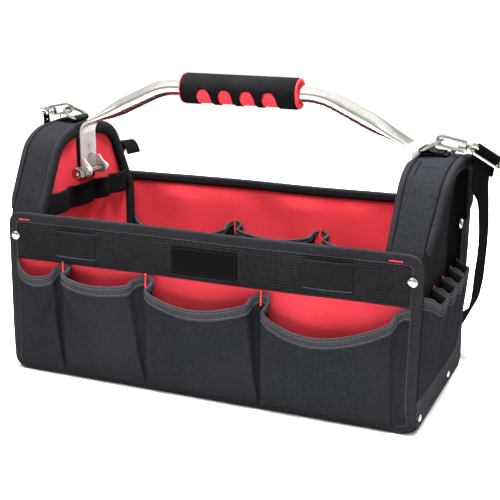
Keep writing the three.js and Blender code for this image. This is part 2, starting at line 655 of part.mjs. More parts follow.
function tubeRing(center, tangent, flat) {
  const across = vec(0, 1, 0);
  const normal = tangent.clone().cross(across);
  const width = lerp(TUBE_DIAMETER, PLATE_WIDTH, flat) / 2;
  const thick = lerp(TUBE_DIAMETER, PLATE_THICK, flat) / 2;
  const power = lerp(1, PLATE_SQUARENESS, flat);
  const bent = (value) => Math.sign(value) * Math.abs(value) ** power;
  const ring = [];
  for (let i = 0; i < TUBE_SIDES; i++) {
    const angle = (Math.PI * 2 * (i + 0.5)) / TUBE_SIDES;
    const point = center.clone().addScaledVector(across, width * bent(Math.cos(angle)));
    ring.push(point.addScaledVector(normal, thick * bent(Math.sin(angle))));
  }
  return ring;
}

function makeHandle() {
  const route = handleStations();
  const rings = route.map((p, i) => {
    const a = route[Math.max(i - 1, 0)];
    const b = route[Math.min(i + 1, route.length - 1)];
    const tangent = vec(b.x - a.x, 0, b.y - a.y).normalize();
    const flat = smoothstep(Math.abs(p.x), FLATTEN_FROM, FLATTEN_END);
    return tubeRing(vec(p.x, 0, p.y), tangent, flat);
  });
  const { radius, depth, z } = PLATE_HOLE;
  const holes = ENDS.map((end) => new THREE.CylinderGeometry(radius, radius, depth, TUBE_SIDES)
    .rotateZ(Math.PI / 2).translate(end.sign * end.plateX, 0, z));
  addPiece('handle', cut(loft(rings), ...holes), STEEL);
}

// Ring-shaped body turned about the X axis at the height of the handle
function turnedSleeve(profile) {
  const points = profile.map(([radius, x]) => new THREE.Vector2(radius, x));
  points.push(points[0].clone());
  return new THREE.LatheGeometry(points, TURN_SIDES).rotateZ(-Math.PI / 2).translate(0, 0, HANDLE_HEIGHT);
}

function makeGrip() {
  const bore = TUBE_DIAMETER / 2 + GAP;
  const coreHalf = GRIP_HALF + CORE_OVERHANG;
  const coreEdge = GRIP_CORE_RADIUS - CORE_BEVEL;
  const core = [
    [bore, -coreHalf], [coreEdge, -coreHalf], [GRIP_CORE_RADIUS, -GRIP_HALF],
    [GRIP_CORE_RADIUS, GRIP_HALF], [coreEdge, coreHalf], [bore, coreHalf],
  ];
  addPiece('grip_core', turnedSleeve(core), RED_FOAM);
  const skinBore = GRIP_CORE_RADIUS + GAP;
  const skinEdge = GRIP_RADIUS - SKIN_BEVEL.in;
  const round = GRIP_HALF - SKIN_BEVEL.along;
  const skin = [
    [skinBore, -GRIP_HALF], [skinEdge, -GRIP_HALF], [GRIP_RADIUS, -round],
    [GRIP_RADIUS, round], [skinEdge, GRIP_HALF], [skinBore, GRIP_HALF],
  ];
  const recesses = [];
  for (let i = 0; i < FINGER.count; i++) {
    const x = FINGER.first + i * FINGER.pitch;
    const half = FINGER.width / 2;
    const shape = new THREE.Shape();
    shape.moveTo(x - half, -2 * GRIP_RADIUS);
    shape.lineTo(x + half, -2 * GRIP_RADIUS);
    shape.lineTo(x + half, FINGER.top - half);
    shape.absarc(x, FINGER.top - half, half, 0, Math.PI);
    const prism = extrude(shape, 4 * GRIP_RADIUS).rotateX(Math.PI / 2);
    recesses.push(prism.translate(0, 2 * GRIP_RADIUS, HANDLE_HEIGHT));
  }
  addPiece('grip_skin', cut(turnedSleeve(skin), ...recesses), BLACK_FOAM);
}

// Hinge bracket, bolt and the webbing behind them, on the inner face of each end wall
function rod({ radius, from, to, sides = TUBE_SIDES }) {
  return new THREE.CylinderGeometry(radius, radius, to - from, sides).translate(0, (from + to) / 2, 0);
}

function makeHinges() {
  for (const end of ENDS) {
    const inwards = -end.sign;
    const face = end.sign * (end.plateX - PLATE_THICK / 2 - GAP);
    const pin = face + inwards * HINGE_STAND;
    const sheet = face + inwards * BRACKET.thick;
    // The right hinge is the left one turned round, so its nut is at the rear
    const turnRound = (part) => (end.sign < 0 ? part : { ...part, from: -part.to, to: -part.from });
    const bracket = turnRound(BRACKET);
    const lo = [Math.min(face, sheet), bracket.from, PLATE_BOTTOM - BRACKET.below];
    const plate = box(lo, [Math.max(face, sheet), bracket.to, PLATE_HOLE.z - BRACKET.belowHole]);
    const knuckles = KNUCKLES.map(turnRound).map(({ from, to }) => {
      const barrel = rod({ radius: KNUCKLE_RADIUS, from, to }).translate(pin, 0, HINGE_HEIGHT);
      const armLo = [Math.min(face, pin), from, HINGE_HEIGHT - KNUCKLE_ARM];
      return join(barrel, box(armLo, [Math.max(face, pin), to, HINGE_HEIGHT + KNUCKLE_ARM]));
    });
    const reach = 2 * BRACKET.to;
    const bore = rod({ radius: BOLT_RADIUS + GAP, from: -reach, to: reach }).translate(pin, 0, HINGE_HEIGHT);
    addPiece(`handle_bracket_${end.name}`, cut(join(plate, ...knuckles), bore), STEEL);
    const bolt = join(...BOLT_PARTS.map(turnRound).map(rod)).translate(pin, 0, HINGE_HEIGHT);
    addPiece(`hinge_bolt_${end.name}`, bolt, STEEL);
    const layer = (offset) => [-ANCHOR.half, ANCHOR.half].map((y) => ANCHOR_SHARES.map((share) => {
      const z = lerp(ANCHOR.bottom, end.top - ANCHOR.topDrop, share);
      return vec(wallX(end, offset, z), y, z);
    }));
    const skin = END_THICK + GAP;
    addPiece(`anchor_webbing_${end.name}`, shell(layer(skin), layer(skin + ANCHOR.thick)), BLACK_WEBBING);
  }
}

// Round wire along a flat route, closed into a ring
function wireRing(points, normal, radius) {
  const rings = points.map((p, i) => {
    const a = points[(i + points.length - 1) % points.length];
    const b = points[(i + 1) % points.length];
    const side = b.clone().sub(a).normalize().cross(normal);
    const ring = [];
    for (let j = 0; j < WIRE_SIDES; j++) {
      const angle = (Math.PI * 2 * j) / WIRE_SIDES;
      const point = p.clone().addScaledVector(normal, radius * Math.cos(angle));
      ring.push(point.addScaledVector(side, radius * Math.sin(angle)));
    }
    return ring;
  });
  return loft(rings, true);
}

// Frame of a D-ring: bar is its straight side, reach points to its rounded side
function ringFrame(end) {
  const bar = vec(end.sign * RING_BAR_X, 0, end.top + RING_BAR_LIFT);
  const reach = vec(end.sign * Math.cos(RING_TILT), 0, Math.sin(RING_TILT));
  const tip = bar.clone().addScaledVector(reach, RING_DEPTH);
  return { bar, reach, tip };
}

function makeRings() {
  for (const end of ENDS) {
    const { bar, reach } = ringFrame(end);
    const outline = new THREE.Shape();
    const half = RING_WIDTH / 2;
    const corner = RING_CORNER;
    const side = RING_DEPTH * RING_ROUND.side;
    const top = half * RING_ROUND.top;
    outline.moveTo(corner - half, 0);
    outline.lineTo(half - corner, 0);
    outline.absarc(half - corner, corner, corner, -Math.PI / 2, 0);
    outline.bezierCurveTo(half, side, top, RING_DEPTH, 0, RING_DEPTH);
    outline.bezierCurveTo(-top, RING_DEPTH, -half, side, -half, corner);
    outline.absarc(corner - half, corner, corner, Math.PI, 1.5 * Math.PI);
    const flat = outline.getPoints(RING_STEPS).slice(0, -1);
    const route = flat.map((p) => bar.clone().add(vec(0, p.x, 0)).addScaledVector(reach, p.y));
    const normal = vec(0, 1, 0).cross(reach);
    addPiece(`dring_${end.name}`, wireRing(route, normal, RING_WIRE), STEEL);
    addPiece(`dring_tab_${end.name}`, ringTab(end, bar), BLACK_WEBBING);
  }
}

// Tab of webbing sewn along the top of the arch and folded round the straight side of the ring
function ringTab(end, bar) {
  const turn = RING_WIRE + GAP + TAB_THICK / 2;
  const low = -turn;
  const high = low + TAB_THICK + GAP;
  const route = [{ s: TAB_REACH.under, z: low }, { s: TAB_REACH.turn, z: low }];
  for (let i = 0; i <= TAB_STEPS; i++) {
    const angle = -Math.PI / 2 - (Math.PI * i) / TAB_STEPS;
    route.push({ s: turn * Math.cos(angle), z: turn * Math.sin(angle) });
  }
  route.push({ s: TAB_REACH.slope, z: turn * TAB_SLOPE }, { s: TAB_REACH.meet, z: high + GAP });
  route.push({ s: TAB_REACH.over, z: high });
  const rings = route.map((p, i) => {
    const a = route[Math.max(i - 1, 0)];
    const b = route[Math.min(i + 1, route.length - 1)];
    const length = Math.hypot(b.s - a.s, b.z - a.z);
    const out = { s: -(b.z - a.z) / length, z: (b.s - a.s) / length };
    return [[-1, 1], [1, 1], [1, -1], [-1, -1]].map(([side, face]) => vec(
      bar.x + end.sign * (p.s + (face * out.s * TAB_THICK) / 2),
      (side * TAB_WIDTH) / 2,
      bar.z + p.z + (face * out.z * TAB_THICK) / 2,
    ));
  });
  return loft(rings);
}

// Snap hooks: u points along the hook to its nose, v to its back, and both lie in the XZ plane
function hookMatrix(end) {
  const { tip } = ringFrame(end);
  const u = vec(-end.sign * Math.cos(HOOK_DROOP), 0, Math.sin(HOOK_DROOP));
  const v = vec(end.sign * Math.sin(HOOK_DROOP), 0, Math.cos(HOOK_DROOP));
  return new THREE.Matrix4().makeBasis(u, v, u.clone().cross(v)).setPosition(tip);
}

// A hook's flat outline, given thickness evenly to both sides
const flatPiece = (shape, half) => extrude(shape, 2 * half).translate(0, 0, -half);
const crossPin = (radius, half, x, y) => new THREE.CylinderGeometry(radius, radius, 2 * half, PIN_SIDES)
  .rotateX(Math.PI / 2).translate(x, y, 0);

function hookBody() {
  const shape = new THREE.Shape();
  shape.moveTo(HOOK_ROOT.from, HOOK_OUTER);
  shape.lineTo(0, HOOK_OUTER);
  shape.absarc(0, 0, HOOK_OUTER, Math.PI / 2, -Math.PI / 2, true);
  shape.lineTo(NOSE_TIP, -HOOK_OUTER);
  shape.lineTo(NOSE_TIP, -HOOK_INNER);
  shape.absarc(0, 0, HOOK_INNER, -Math.PI / 2, Math.PI / 2, false);
  shape.lineTo(HOOK_ROOT.to, HOOK_INNER);
  shape.lineTo(HOOK_ROOT.to, -HOOK_OUTER);
  shape.lineTo(HOOK_ROOT.from, -HOOK_OUTER);
  const slotHalf = GATE.halfWidth + GAP;
  const lo = [HOOK_ROOT.from - HOOK_OUTER, -2 * HOOK_OUTER, -slotHalf];
  const slot = box(lo, [HOOK_ROOT.to + HOOK_OUTER, GATE_SLOT_TOP, slotHalf]);
  const pin = crossPin(GATE.pin, HOOK_HALF_WIDTH - PIN_INSET, GATE.pivot, GATE.height);
  return join(cut(flatPiece(shape, HOOK_HALF_WIDTH), slot), pin);
}

function hookGate() {
  const shape = new THREE.Shape();
  const top = GATE.height + GATE.half;
  const bottom = GATE.height - GATE.half;
  shape.moveTo(GATE.tail, bottom);
  shape.lineTo(THUMB.from, bottom);
  shape.lineTo(THUMB.low, bottom - THUMB.drop);
  shape.lineTo(THUMB.high, bottom - THUMB.drop);
  shape.lineTo(THUMB.to, bottom);
  shape.lineTo(NOSE_TIP - GAP, bottom);
  shape.lineTo(NOSE_TIP - GAP, top);
  shape.lineTo(GATE.tail, top);
  const hole = crossPin(GATE.pinHole, HOOK_HALF_WIDTH, GATE.pivot, GATE.height);
  return cut(flatPiece(shape, GATE.halfWidth), hole);
}

// Frame of a strap loop: along its bars, from the bar at the eye up to the bar in the strap's fold
function loopFrame(end) {
  const along = vec(end.sign * LOOP_ALONG.x, LOOP_ALONG.y, LOOP_ALONG.z).normalize();
  const upright = vec(end.sign * LOOP_UPRIGHT.x, LOOP_UPRIGHT.y, LOOP_UPRIGHT.z);
  const rise = upright.addScaledVector(along, -along.dot(upright)).normalize();
  const front = along.clone().cross(rise).multiplyScalar(end.sign);
  const center = vec(end.sign * STRAP_LOOP.x, STRAP_LOOP.y, end.top - STRAP_LOOP.drop);
  return { along, rise, front, center };
}

function makeHooks() {
  for (const end of ENDS) {
    const matrix = hookMatrix(end);
    addPiece(`hook_body_${end.name}`, hookBody().applyMatrix4(matrix), STEEL);
    addPiece(`hook_gate_${end.name}`, hookGate().applyMatrix4(matrix), STEEL);
    const { along, rise, front, center } = loopFrame(end);
    const eye = center.clone().addScaledVector(along, STRAP_LOOP.from - SWIVEL.pull);
    eye.addScaledVector(rise, STRAP_LOOP.depth / 2);
    const circle = [];
    for (let i = 0; i < EYE_STEPS; i++) {
      const angle = (Math.PI * 2 * i) / EYE_STEPS;
      const point = eye.clone().addScaledVector(along, SWIVEL.eye * Math.cos(angle));
      circle.push(point.addScaledVector(front, SWIVEL.eye * Math.sin(angle)));
    }
    const barrel = rod({ radius: SWIVEL.radius, from: GAP - HOOK_ROOT.from, to: -SWIVEL.end })
      .rotateZ(Math.PI / 2).applyMatrix4(matrix);
    const eyeRing = wireRing(circle, rise, SWIVEL.wire);
    addPiece(`hook_swivel_${end.name}`, join(barrel, eyeRing), STEEL);
    const { from, to, depth, corner } = STRAP_LOOP;
    const flat = roundedRectangle(from, 0, to, depth, corner, corner).getPoints(LOOP_STEPS);
    const route = flat.slice(0, -1).filter((p, i) => i === 0 || p.distanceTo(flat[i - 1]) > 1e-6)
      .map((p) => center.clone().addScaledVector(along, p.x).addScaledVector(rise, p.y));
    addPiece(`strap_loop_${end.name}`, wireRing(route, front, STRAP_LOOP.wire), STEEL);
  }
}

// The strap's fold round the upper bar of a loop: height above the lower bar and distance in front
const FOLD_TURN = STRAP_LOOP.wire + GAP + STRAP_THICK / 2;
const FOLD_STEPS = 6;
const FOLD_BACK = [{ rise: -7, front: -6.1 }, { rise: 0, front: -5.8 }, { rise: 5, front: -4.4 }];
const FOLD_FRONT = [
  { rise: 6, front: 1.9 }, { rise: 4.4, front: 0 }, { rise: 2.6, front: -2 },
  { rise: 0, front: -3.2 }, { rise: -3, front: -3.6 },
];

function foldRoute(end) {
  const { along, rise, front, center } = loopFrame(end);
  const turn = [];
  for (let i = 0; i <= FOLD_STEPS; i++) {
    const angle = Math.PI * (1 - i / FOLD_STEPS);
    const height = STRAP_LOOP.depth + FOLD_TURN * Math.sin(angle);
    turn.push({ rise: height, front: FOLD_TURN * Math.cos(angle) });
  }
  return [...FOLD_BACK, ...turn, ...FOLD_FRONT].map((row) => ({
    at: center.clone().addScaledVector(rise, row.rise).addScaledVector(front, row.front),
    across: along.clone(),
  }));
}

const routeRow = (row) => ({ at: vec(row.x, row.y, row.z), across: vec(row.ax, row.ay, row.az).normalize() });

// Flat webbing along a row of stations; its width is squared to the run at each ring
function webbing(stations, width, thick) {
  const rings = stations.map((station, i) => {
    const a = stations[Math.max(i - 1, 0)].at;
    const b = stations[Math.min(i + 1, stations.length - 1)].at;
    const run = b.clone().sub(a).normalize();
    const across = station.across.clone().addScaledVector(run, -station.across.dot(run)).normalize();
    const face = run.clone().cross(across);
    return [[-1, 1], [1, 1], [1, -1], [-1, -1]].map(([side, out]) => station.at.clone()
      .addScaledVector(across, (side * width) / 2).addScaledVector(face, (out * thick) / 2));
  });
  return loft(rings);
}

// Stations spread evenly on a smooth curve through the rows of a route
function smoothRoute(rows, steps) {
  const curve = new THREE.CatmullRomCurve3(rows.map((row) => row.at), false, 'centripetal');
  const across = new THREE.CatmullRomCurve3(rows.map((row) => row.across), false, 'centripetal');
  const stations = [];
  for (let i = 0; i <= steps; i++) {
    const share = curve.getUtoTmapping(i / steps);
    stations.push({ at: curve.getPoint(share), across: across.getPoint(share).normalize() });
  }
  return stations;
}

// First rows of the free end, on the inner face of the strap on the left, up to the height of TAIL_SEAT
function tailStart(stations) {
  const away = ({ at }) => (at.x < 0 ? Math.abs(at.z - TAIL_SEAT.z) : Infinity);
  const i = stations.reduce((best, station, k) => (away(station) < away(stations[best]) ? k : best), 0);
  return [i - TAIL_SEAT.steps, i].map((k) => {
    const run = stations[k + 1].at.clone().sub(stations[k - 1].at).normalize();
    const across = stations[k].across.clone().addScaledVector(run, -stations[k].across.dot(run)).normalize();
    const face = run.clone().cross(across);
    const inward = face.multiplyScalar(Math.sign(face.x));
    const stand = STRAP_THICK + GAP + (k === i ? TAIL_SEAT.lift : 0);
    return { at: stations[k].at.clone().addScaledVector(inward, stand), across };
  });
}

function mirroredRow(row) {
  const lift = STRAP_LIFT.height * smoothstep(row.z, STRAP_LIFT.from, STRAP_LIFT.to);
  return routeRow({ ...row, x: -row.x, z: row.z + lift, ax: -row.ax });
}

function makeStrap() {
  const right = foldRoute(ENDS[1]);
  const left = foldRoute(ENDS[0]).reverse();
  const leftRows = STRAP_RIGHT.map(mirroredRow).reverse();
  const middle = [right[right.length - 1], ...STRAP_RIGHT.map(routeRow), ...leftRows, left[0]];
  const stations = [...right.slice(0, -1), ...smoothRoute(middle, STRAP_STEPS), ...left.slice(1)];
  addPiece('strap', webbing(stations, STRAP_WIDTH, STRAP_THICK), BLACK_WEBBING);
  const tail = [...tailStart(stations), ...TAIL_ROUTE.map(routeRow)];
  addPiece('strap_tail', webbing(smoothRoute(tail, TAIL_STEPS), TAIL_WIDTH, STRAP_THICK), BLACK_WEBBING);
}

// Snaps and rivets, turned about the axis that points out of the cloth
function turned(profile, radius = 1, height = 1) {
  const points = profile.map(({ r, h }) => new THREE.Vector2(r * radius, h * height));
  return new THREE.LatheGeometry(points, TUBE_SIDES);
}

function makeSnaps() {
  const seat = HALF_DEPTH + GAP + TAPE + SNAP.seat;
  for (const end of ENDS) {
    const cap = turned(DOME_PROFILE, SNAP.radius, SNAP.height).rotateX(Math.PI);
    addPiece(`front_snap_${end.name}`, cap.translate(end.sign * FRONT_SNAP.x, -seat, FRONT_SNAP.z), STEEL);
  }
  const ring = turned(END_SNAP_PROFILE).rotateZ(-Math.PI / 2);
  addPiece('end_snap_right', ring.translate(HALF_LENGTH + GAP, END_SNAP.y, END_SNAP.z), STEEL);
  for (const rivet of END_RIVETS) {
    const cap = turned(DOME_PROFILE, RIVET.radius, RIVET.height).rotateZ(-Math.PI / 2);
    addPiece(rivet.name, cap.translate(HALF_LENGTH + 2 * GAP + BAND_THICK, rivet.y, rivet.z), STEEL);
  }
}

makeBase();
makeBody();
makeFrontBand();
makePockets();
makeLoopBand();
makeHandle();
makeGrip();
makeHinges();
makeRings();
makeHooks();
makeStrap();
makeSnaps();

export default bag;
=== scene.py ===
"""Looks of an open-topped tool bag: cloth walls, pleated pockets, bindings, steel, foam grip and strap."""

import math

import bmesh
import bpy
import numpy as np
from mathutils import Matrix, Vector


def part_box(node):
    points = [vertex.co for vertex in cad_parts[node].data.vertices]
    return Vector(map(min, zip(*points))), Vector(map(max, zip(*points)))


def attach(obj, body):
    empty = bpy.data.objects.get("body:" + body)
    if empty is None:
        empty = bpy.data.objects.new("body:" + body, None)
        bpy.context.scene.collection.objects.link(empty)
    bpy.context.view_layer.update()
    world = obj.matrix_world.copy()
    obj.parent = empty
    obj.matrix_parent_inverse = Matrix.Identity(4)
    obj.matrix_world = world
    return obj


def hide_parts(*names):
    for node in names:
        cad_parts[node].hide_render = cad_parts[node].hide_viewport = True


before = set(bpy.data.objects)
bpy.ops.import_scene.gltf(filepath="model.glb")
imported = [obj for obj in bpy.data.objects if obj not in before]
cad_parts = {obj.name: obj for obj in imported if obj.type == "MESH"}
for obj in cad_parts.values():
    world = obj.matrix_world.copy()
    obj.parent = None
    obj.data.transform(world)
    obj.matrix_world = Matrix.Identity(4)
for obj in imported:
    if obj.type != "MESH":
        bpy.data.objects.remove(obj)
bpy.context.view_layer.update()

# Shapes are worked out in millimetres and stored in metres
MM = 0.001


def node_box(node):
    low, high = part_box(node)
    return np.array(low) / MM, np.array(high) / MM


def named(columns, rows):
    """Rows of a table by the names of its columns."""
    return [dict(zip(columns.split(), row)) for row in rows]


# Driving dimensions, read from the frame where a node has them
HALF_LENGTH = node_box("front_panel")[1][0]
HALF_DEPTH = -node_box("front_panel")[0][1]
FRONT_TOP = node_box("front_panel")[1][2]
BACK_TOP = node_box("back_panel")[1][2]
WALL = 2.5
ARCH_HALF = HALF_DEPTH - WALL - 0.3
END_THICK = HALF_LENGTH - abs(node_box("end_lining_left")[1][0])
SIDE_TOP = 166.0
SPLAY_START = 175.0
# Control points of an arch's shoulder: distance from the middle and drop below the crown
SHOULDER = ((65.0, 24.0), (56.0, 8.0), (36.0, 0.6), (0.0, 0.0))
ENDS = {row["side"]: row for row in named("side sign outer_splay inner_splay plate_x", (
    ("left", -1, 0.0, 0.0, 180.4),
    ("right", 1, 7.0, 2.0, 180.9),
))}
for end_row in ENDS.values():
    end_row["top"] = node_box("end_outer_" + end_row["side"])[1][2]
FORWARD = (0.0, -1.0, 0.0)


# Small vector helpers
def unit(v):
    v = np.asarray(v, float)
    return v / np.maximum(np.linalg.norm(v, axis=-1, keepdims=True), 1e-12)


def in_space(x, y, z):
    return np.stack(np.broadcast_arrays(x, y, z), axis=-1)


def square_to(v, axis):
    """What is left of directions when their part along an axis is taken off, as unit directions."""
    return unit(v - axis * np.sum(v * axis, axis=-1, keepdims=True))


def left_of(run):
    return np.stack([-run[:, 1], run[:, 0]], axis=1)


def smoothstep(x, low, high):
    t = np.clip((np.asarray(x, float) - low) / (high - low), 0, 1)
    return t * t * (3 - 2 * t)


def signed_power(x, power):
    return np.sign(x) * np.abs(x) ** power


def round_inset(z, level, radius):
    """How far a rounded lower corner, which ends at a level, draws an edge in at heights z."""
    low = np.clip((level + radius - z) / radius, 0, 1)
    return radius * (1 - np.sqrt(1 - low**2))


def lengths(points):
    steps = np.linalg.norm(np.diff(points, axis=0), axis=1)
    return np.concatenate([[0.0], np.cumsum(steps)])


def sample(want, along, values):
    return np.stack([np.interp(want, along, values[:, k]) for k in range(values.shape[1])], axis=1)


def resample(points, count):
    points = np.asarray(points, float)
    along = lengths(points)
    return sample(np.linspace(0, along[-1], count), along, points)


def closed(points):
    return np.concatenate([points, points[:1]])


def closed_resample(points, count):
    return resample(closed(points), count + 1)[:-1]


def rounded(points, rounds):
    """Corner cutting that keeps both ends, so it can't swing past its control points."""
    points = np.asarray(points, float)
    for _ in range(rounds):
        a, b = points[:-1], points[1:]
        inner = np.stack([0.75 * a + 0.25 * b, 0.25 * a + 0.75 * b], axis=1).reshape(-1, points.shape[1])
        points = np.concatenate([points[:1], inner[1:-1], points[-1:]])
    return points


def corner_cut(profile, rounds, share):
    """Closed profile with its corners cut round."""
    p = np.asarray(profile, float)
    for _ in range(rounds):
        after = np.roll(p, -1, axis=0)
        p = np.stack([(1 - share) * p + share * after, share * p + (1 - share) * after], axis=1)
        p = p.reshape(-1, 2)
    return p


def bezier(points, count):
    """Bezier curve over its control points."""
    t = np.linspace(0, 1, count)[:, None]
    rows = [np.asarray(p, float) for p in points]
    while len(rows) > 1:
        rows = [(1 - t) * a + t * b for a, b in zip(rows[:-1], rows[1:])]
    return rows[0]


def catmull(points, count):
    """Smooth curve through points, sampled evenly along its length."""
    p = np.asarray(points, float)
    p = np.concatenate([2 * p[:1] - p[1:2], p, 2 * p[-1:] - p[-2:-1]])
    dense = []
    t = np.linspace(0, 1, 16, endpoint=False)[:, None]
    for a, b, c, d in zip(p[:-3], p[1:-2], p[2:-1], p[3:]):
        knots = np.maximum(np.linalg.norm(np.diff([a, b, c, d], axis=0), axis=1) ** 0.5, 1e-9)
        m1 = (b - a) / knots[0] - (c - a) / (knots[0] + knots[1]) + (c - b) / knots[1]
        m2 = (c - b) / knots[1] - (d - b) / (knots[1] + knots[2]) + (d - c) / knots[2]
        m1, m2 = m1 * knots[1], m2 * knots[1]
        dense.append((2 * t**3 - 3 * t**2 + 1) * b + (t**3 - 2 * t**2 + t) * m1
                     + (3 * t**2 - 2 * t**3) * c + (t**3 - t**2) * m2)
    dense.append(p[-2:-1])
    return resample(np.concatenate(dense), count)


def arc(radius, start, end, count):
    angle = np.linspace(start, end, count)
    return radius * np.stack([np.cos(angle), np.sin(angle)], axis=1)


def corner_arcs(corners, count):
    """Quarter circles in turn: each row has a centre, a radius and the angle in degrees where it starts."""
    rows = []
    for x, y, radius, start in corners:
        rows.append(np.array([x, y]) + arc(radius, math.radians(start), math.radians(start + 90), count))
    return np.concatenate(rows)


def spokes(axis, count):
    """Directions all round an axis."""
    first = unit(np.cross(axis, (0.31, 0.52, 0.79)))
    turn = arc(1.0, 0, 2 * math.pi * (1 - 1 / count), count)
    return turn[:, :1] * first + turn[:, 1:] * np.cross(axis, first)


# Slow waves that all cloth shares, so that layers which touch stay together
def soft(points):
    p = np.asarray(points, float)
    x, y, z = p[..., 0], p[..., 1], p[..., 2]
    rise = smoothstep(z, 3, 45)
    dy = 0.45 * np.sin(x / 33 + z / 57) + 0.3 * np.sin(x / 17 - z / 39 + 1.3)
    dx = 0.45 * np.sin(y / 29 + z / 43 + 0.6) + 0.25 * np.sin(y / 15 - z / 31)
    dz = 0.35 * np.sin(x / 41 + y / 37 + 0.4)
    return p + np.stack([dx, dy, dz], axis=-1) * rise[..., None]


# Mesh building
CLOTH_ROUND = 0.35
SHARP = math.radians(40)


def add_piece(name, mesh, material):
    mesh.materials.append(material)
    mesh.polygons.foreach_set("use_smooth", [True] * len(mesh.polygons))
    piece = bpy.data.objects.new(name, mesh)
    bpy.context.scene.collection.objects.link(piece)
    return piece


def add_mesh(name, points, faces, uvs, material):
    mesh = bpy.data.meshes.new(name)
    mesh.from_pydata((np.asarray(points, float) * MM).tolist(), [], faces)
    layer = mesh.uv_layers.new(name="Weave")
    layer.data.foreach_set("uv", np.asarray(uvs, np.float32).ravel())
    mesh.validate(clean_customdata=False)
    return add_piece(name, mesh, material)


def add_outward(name, points, faces, uvs, material):
    """Adds a closed mesh, with all its faces turned round where it is inside out."""
    volume = 0.0
    for size in {len(face) for face in faces}:
        corners = points[np.array([face for face in faces if len(face) == size])]
        for k in range(1, size - 1):
            volume += np.sum(corners[:, 0] * np.cross(corners[:, k], corners[:, k + 1]))
    if volume < 0:
        ends = np.cumsum([len(face) for face in faces])
        uvs = [uv for face, end in zip(faces, ends) for uv in uvs[end - len(face):end][::-1]]
        faces = [face[::-1] for face in faces]
    return add_mesh(name, points, faces, uvs, material)


def tube(n, m, u, v, loop=False):
    """Faces and weave places of n rings of m points, with capped ends unless the rings close into a loop."""
    faces, uvs = [], []
    for i in range(n if loop else n - 1):
        k = (i + 1) % n
        for j in range(m):
            h = (j + 1) % m
            faces.append((i * m + j, i * m + h, k * m + h, k * m + j))
            uvs.extend([(u[i], v[j]), (u[i], v[j + 1]), (u[i + 1], v[j + 1]), (u[i + 1], v[j])])
    if not loop:
        for i, ring in ((0, range(m - 1, -1, -1)), (n - 1, range(m))):
            faces.append(tuple(i * m + j for j in ring))
            uvs.extend([(u[i], v[j]) for j in ring])
    return faces, uvs


def loft(name, rings, material, loop=False):
    """Closed body through rings of points; ends are capped unless the rings close into a loop."""
    rings = np.asarray(rings, float)
    n, m = rings.shape[:2]
    u, v = lengths(closed(rings.mean(axis=1))), lengths(closed(rings[n // 2]))
    faces, uvs = tube(n, m, u, v, loop)
    return add_outward(name, rings.reshape(-1, 3), faces, uvs, material)


def cloth(name, grid, thick, material, flip=False, uv=None):
    """Sheet of even thickness with rounded rims, behind the given grid of points."""
    n, m = grid.shape[:2]
    normal = unit(np.cross(np.gradient(grid, axis=0), np.gradient(grid, axis=1))) * (-1 if flip else 1)
    back = grid - normal * thick
    side = CLOTH_ROUND * thick
    first = (grid[:, :1] + back[:, :1]) / 2 - side * unit(grid[:, 1:2] - grid[:, :1])
    last = (grid[:, -1:] + back[:, -1:]) / 2 + side * unit(grid[:, -1:] - grid[:, -2:-1])
    rings = np.concatenate([grid, last, back[:, ::-1], first], axis=1)
    count = rings.shape[1]
    if uv is None:
        u, v = lengths(grid[:, m // 2]), lengths(grid[n // 2])
        uv = np.stack(np.broadcast_arrays(u[:, None], v), axis=-1)
    flat = np.concatenate([uv, uv[:, -1:], uv[:, ::-1], uv[:, :1]], axis=1)
    quads = []
    for i in range(n - 1):
        for j in range(count):
            k = (j + 1) % count
            quads.append([(i, j), (i, k), (i + 1, k), (i + 1, j)])
    for i, order in ((0, -1), (n - 1, 1)):
        strip = [[(i, j), (i, j + 1), (i, count - 3 - j), (i, count - 2 - j)] for j in range(m - 1)]
        strip.append([(i, m - 1), (i, m), (i, m + 1)])
        strip.append([(i, count - 2), (i, count - 1), (i, 0)])
        quads += [cells[::order] for cells in strip]
    faces = [tuple(i * count + j for i, j in cells) for cells in quads]
    uvs = [tuple(flat[i, j]) for cells in quads for i, j in cells]
    return add_outward(name, rings.reshape(-1, 3), faces, uvs, material)


def sweep(name, centres, side, up, profile, material, loop=False):
    """Profile of (side, up) sizes carried along a row of centres."""
    profile = np.asarray(profile, float)
    rings = centres[:, None] + profile[:, :1] * side[:, None] + profile[:, 1:] * up[:, None]
    return loft(name, rings, material, loop)


def wire_ring(name, points, radius, sides):
    """Round wire along a closed row of points, with frames carried along and the last twist shared out."""
    tangent = unit(np.roll(points, -1, axis=0) - np.roll(points, 1, axis=0))
    normal = [unit(np.cross(tangent[0], (0.3, 0.2, 0.93)))]
    for way in closed(tangent)[1:]:
        normal.append(square_to(normal[-1], way))
    end = normal.pop()
    twist = math.atan2(np.dot(np.cross(end, normal[0]), tangent[0]), np.dot(end, normal[0]))
    for i, way in enumerate(tangent):
        normal[i] = Matrix.Rotation(twist * i / len(points), 3, Vector(way)) @ Vector(normal[i])
    normal = np.array(normal)
    section = arc(radius, 0, 2 * math.pi * (1 - 1 / sides), sides)
    return sweep(name, points, normal, np.cross(tangent, normal), section, NICKEL, loop=True)


def turned(name, profile, axis, centre, material, count=40):
    """Body turned about an axis from a closed profile of (radius, height) sizes."""
    profile = np.asarray(profile, float)
    middle = np.asarray(centre) + profile[:, 1:] * np.asarray(axis, float)
    rings = [middle + profile[:, :1] * spoke for spoke in spokes(axis, count)]
    return loft(name, rings, material, loop=True)


def rod(name, radius, a, b, material, bevel, count=32):
    """Round bar between two places with bevelled ends."""
    a, b = np.asarray(a, float), np.asarray(b, float)
    length = np.linalg.norm(b - a)
    axis = (b - a) / length
    round_axis = spokes(axis, count)
    profile = ((radius - bevel, 0.0), (radius, bevel), (radius, length - bevel), (radius - bevel, length))
    return loft(name, [a + size * round_axis + height * axis for size, height in profile], material)


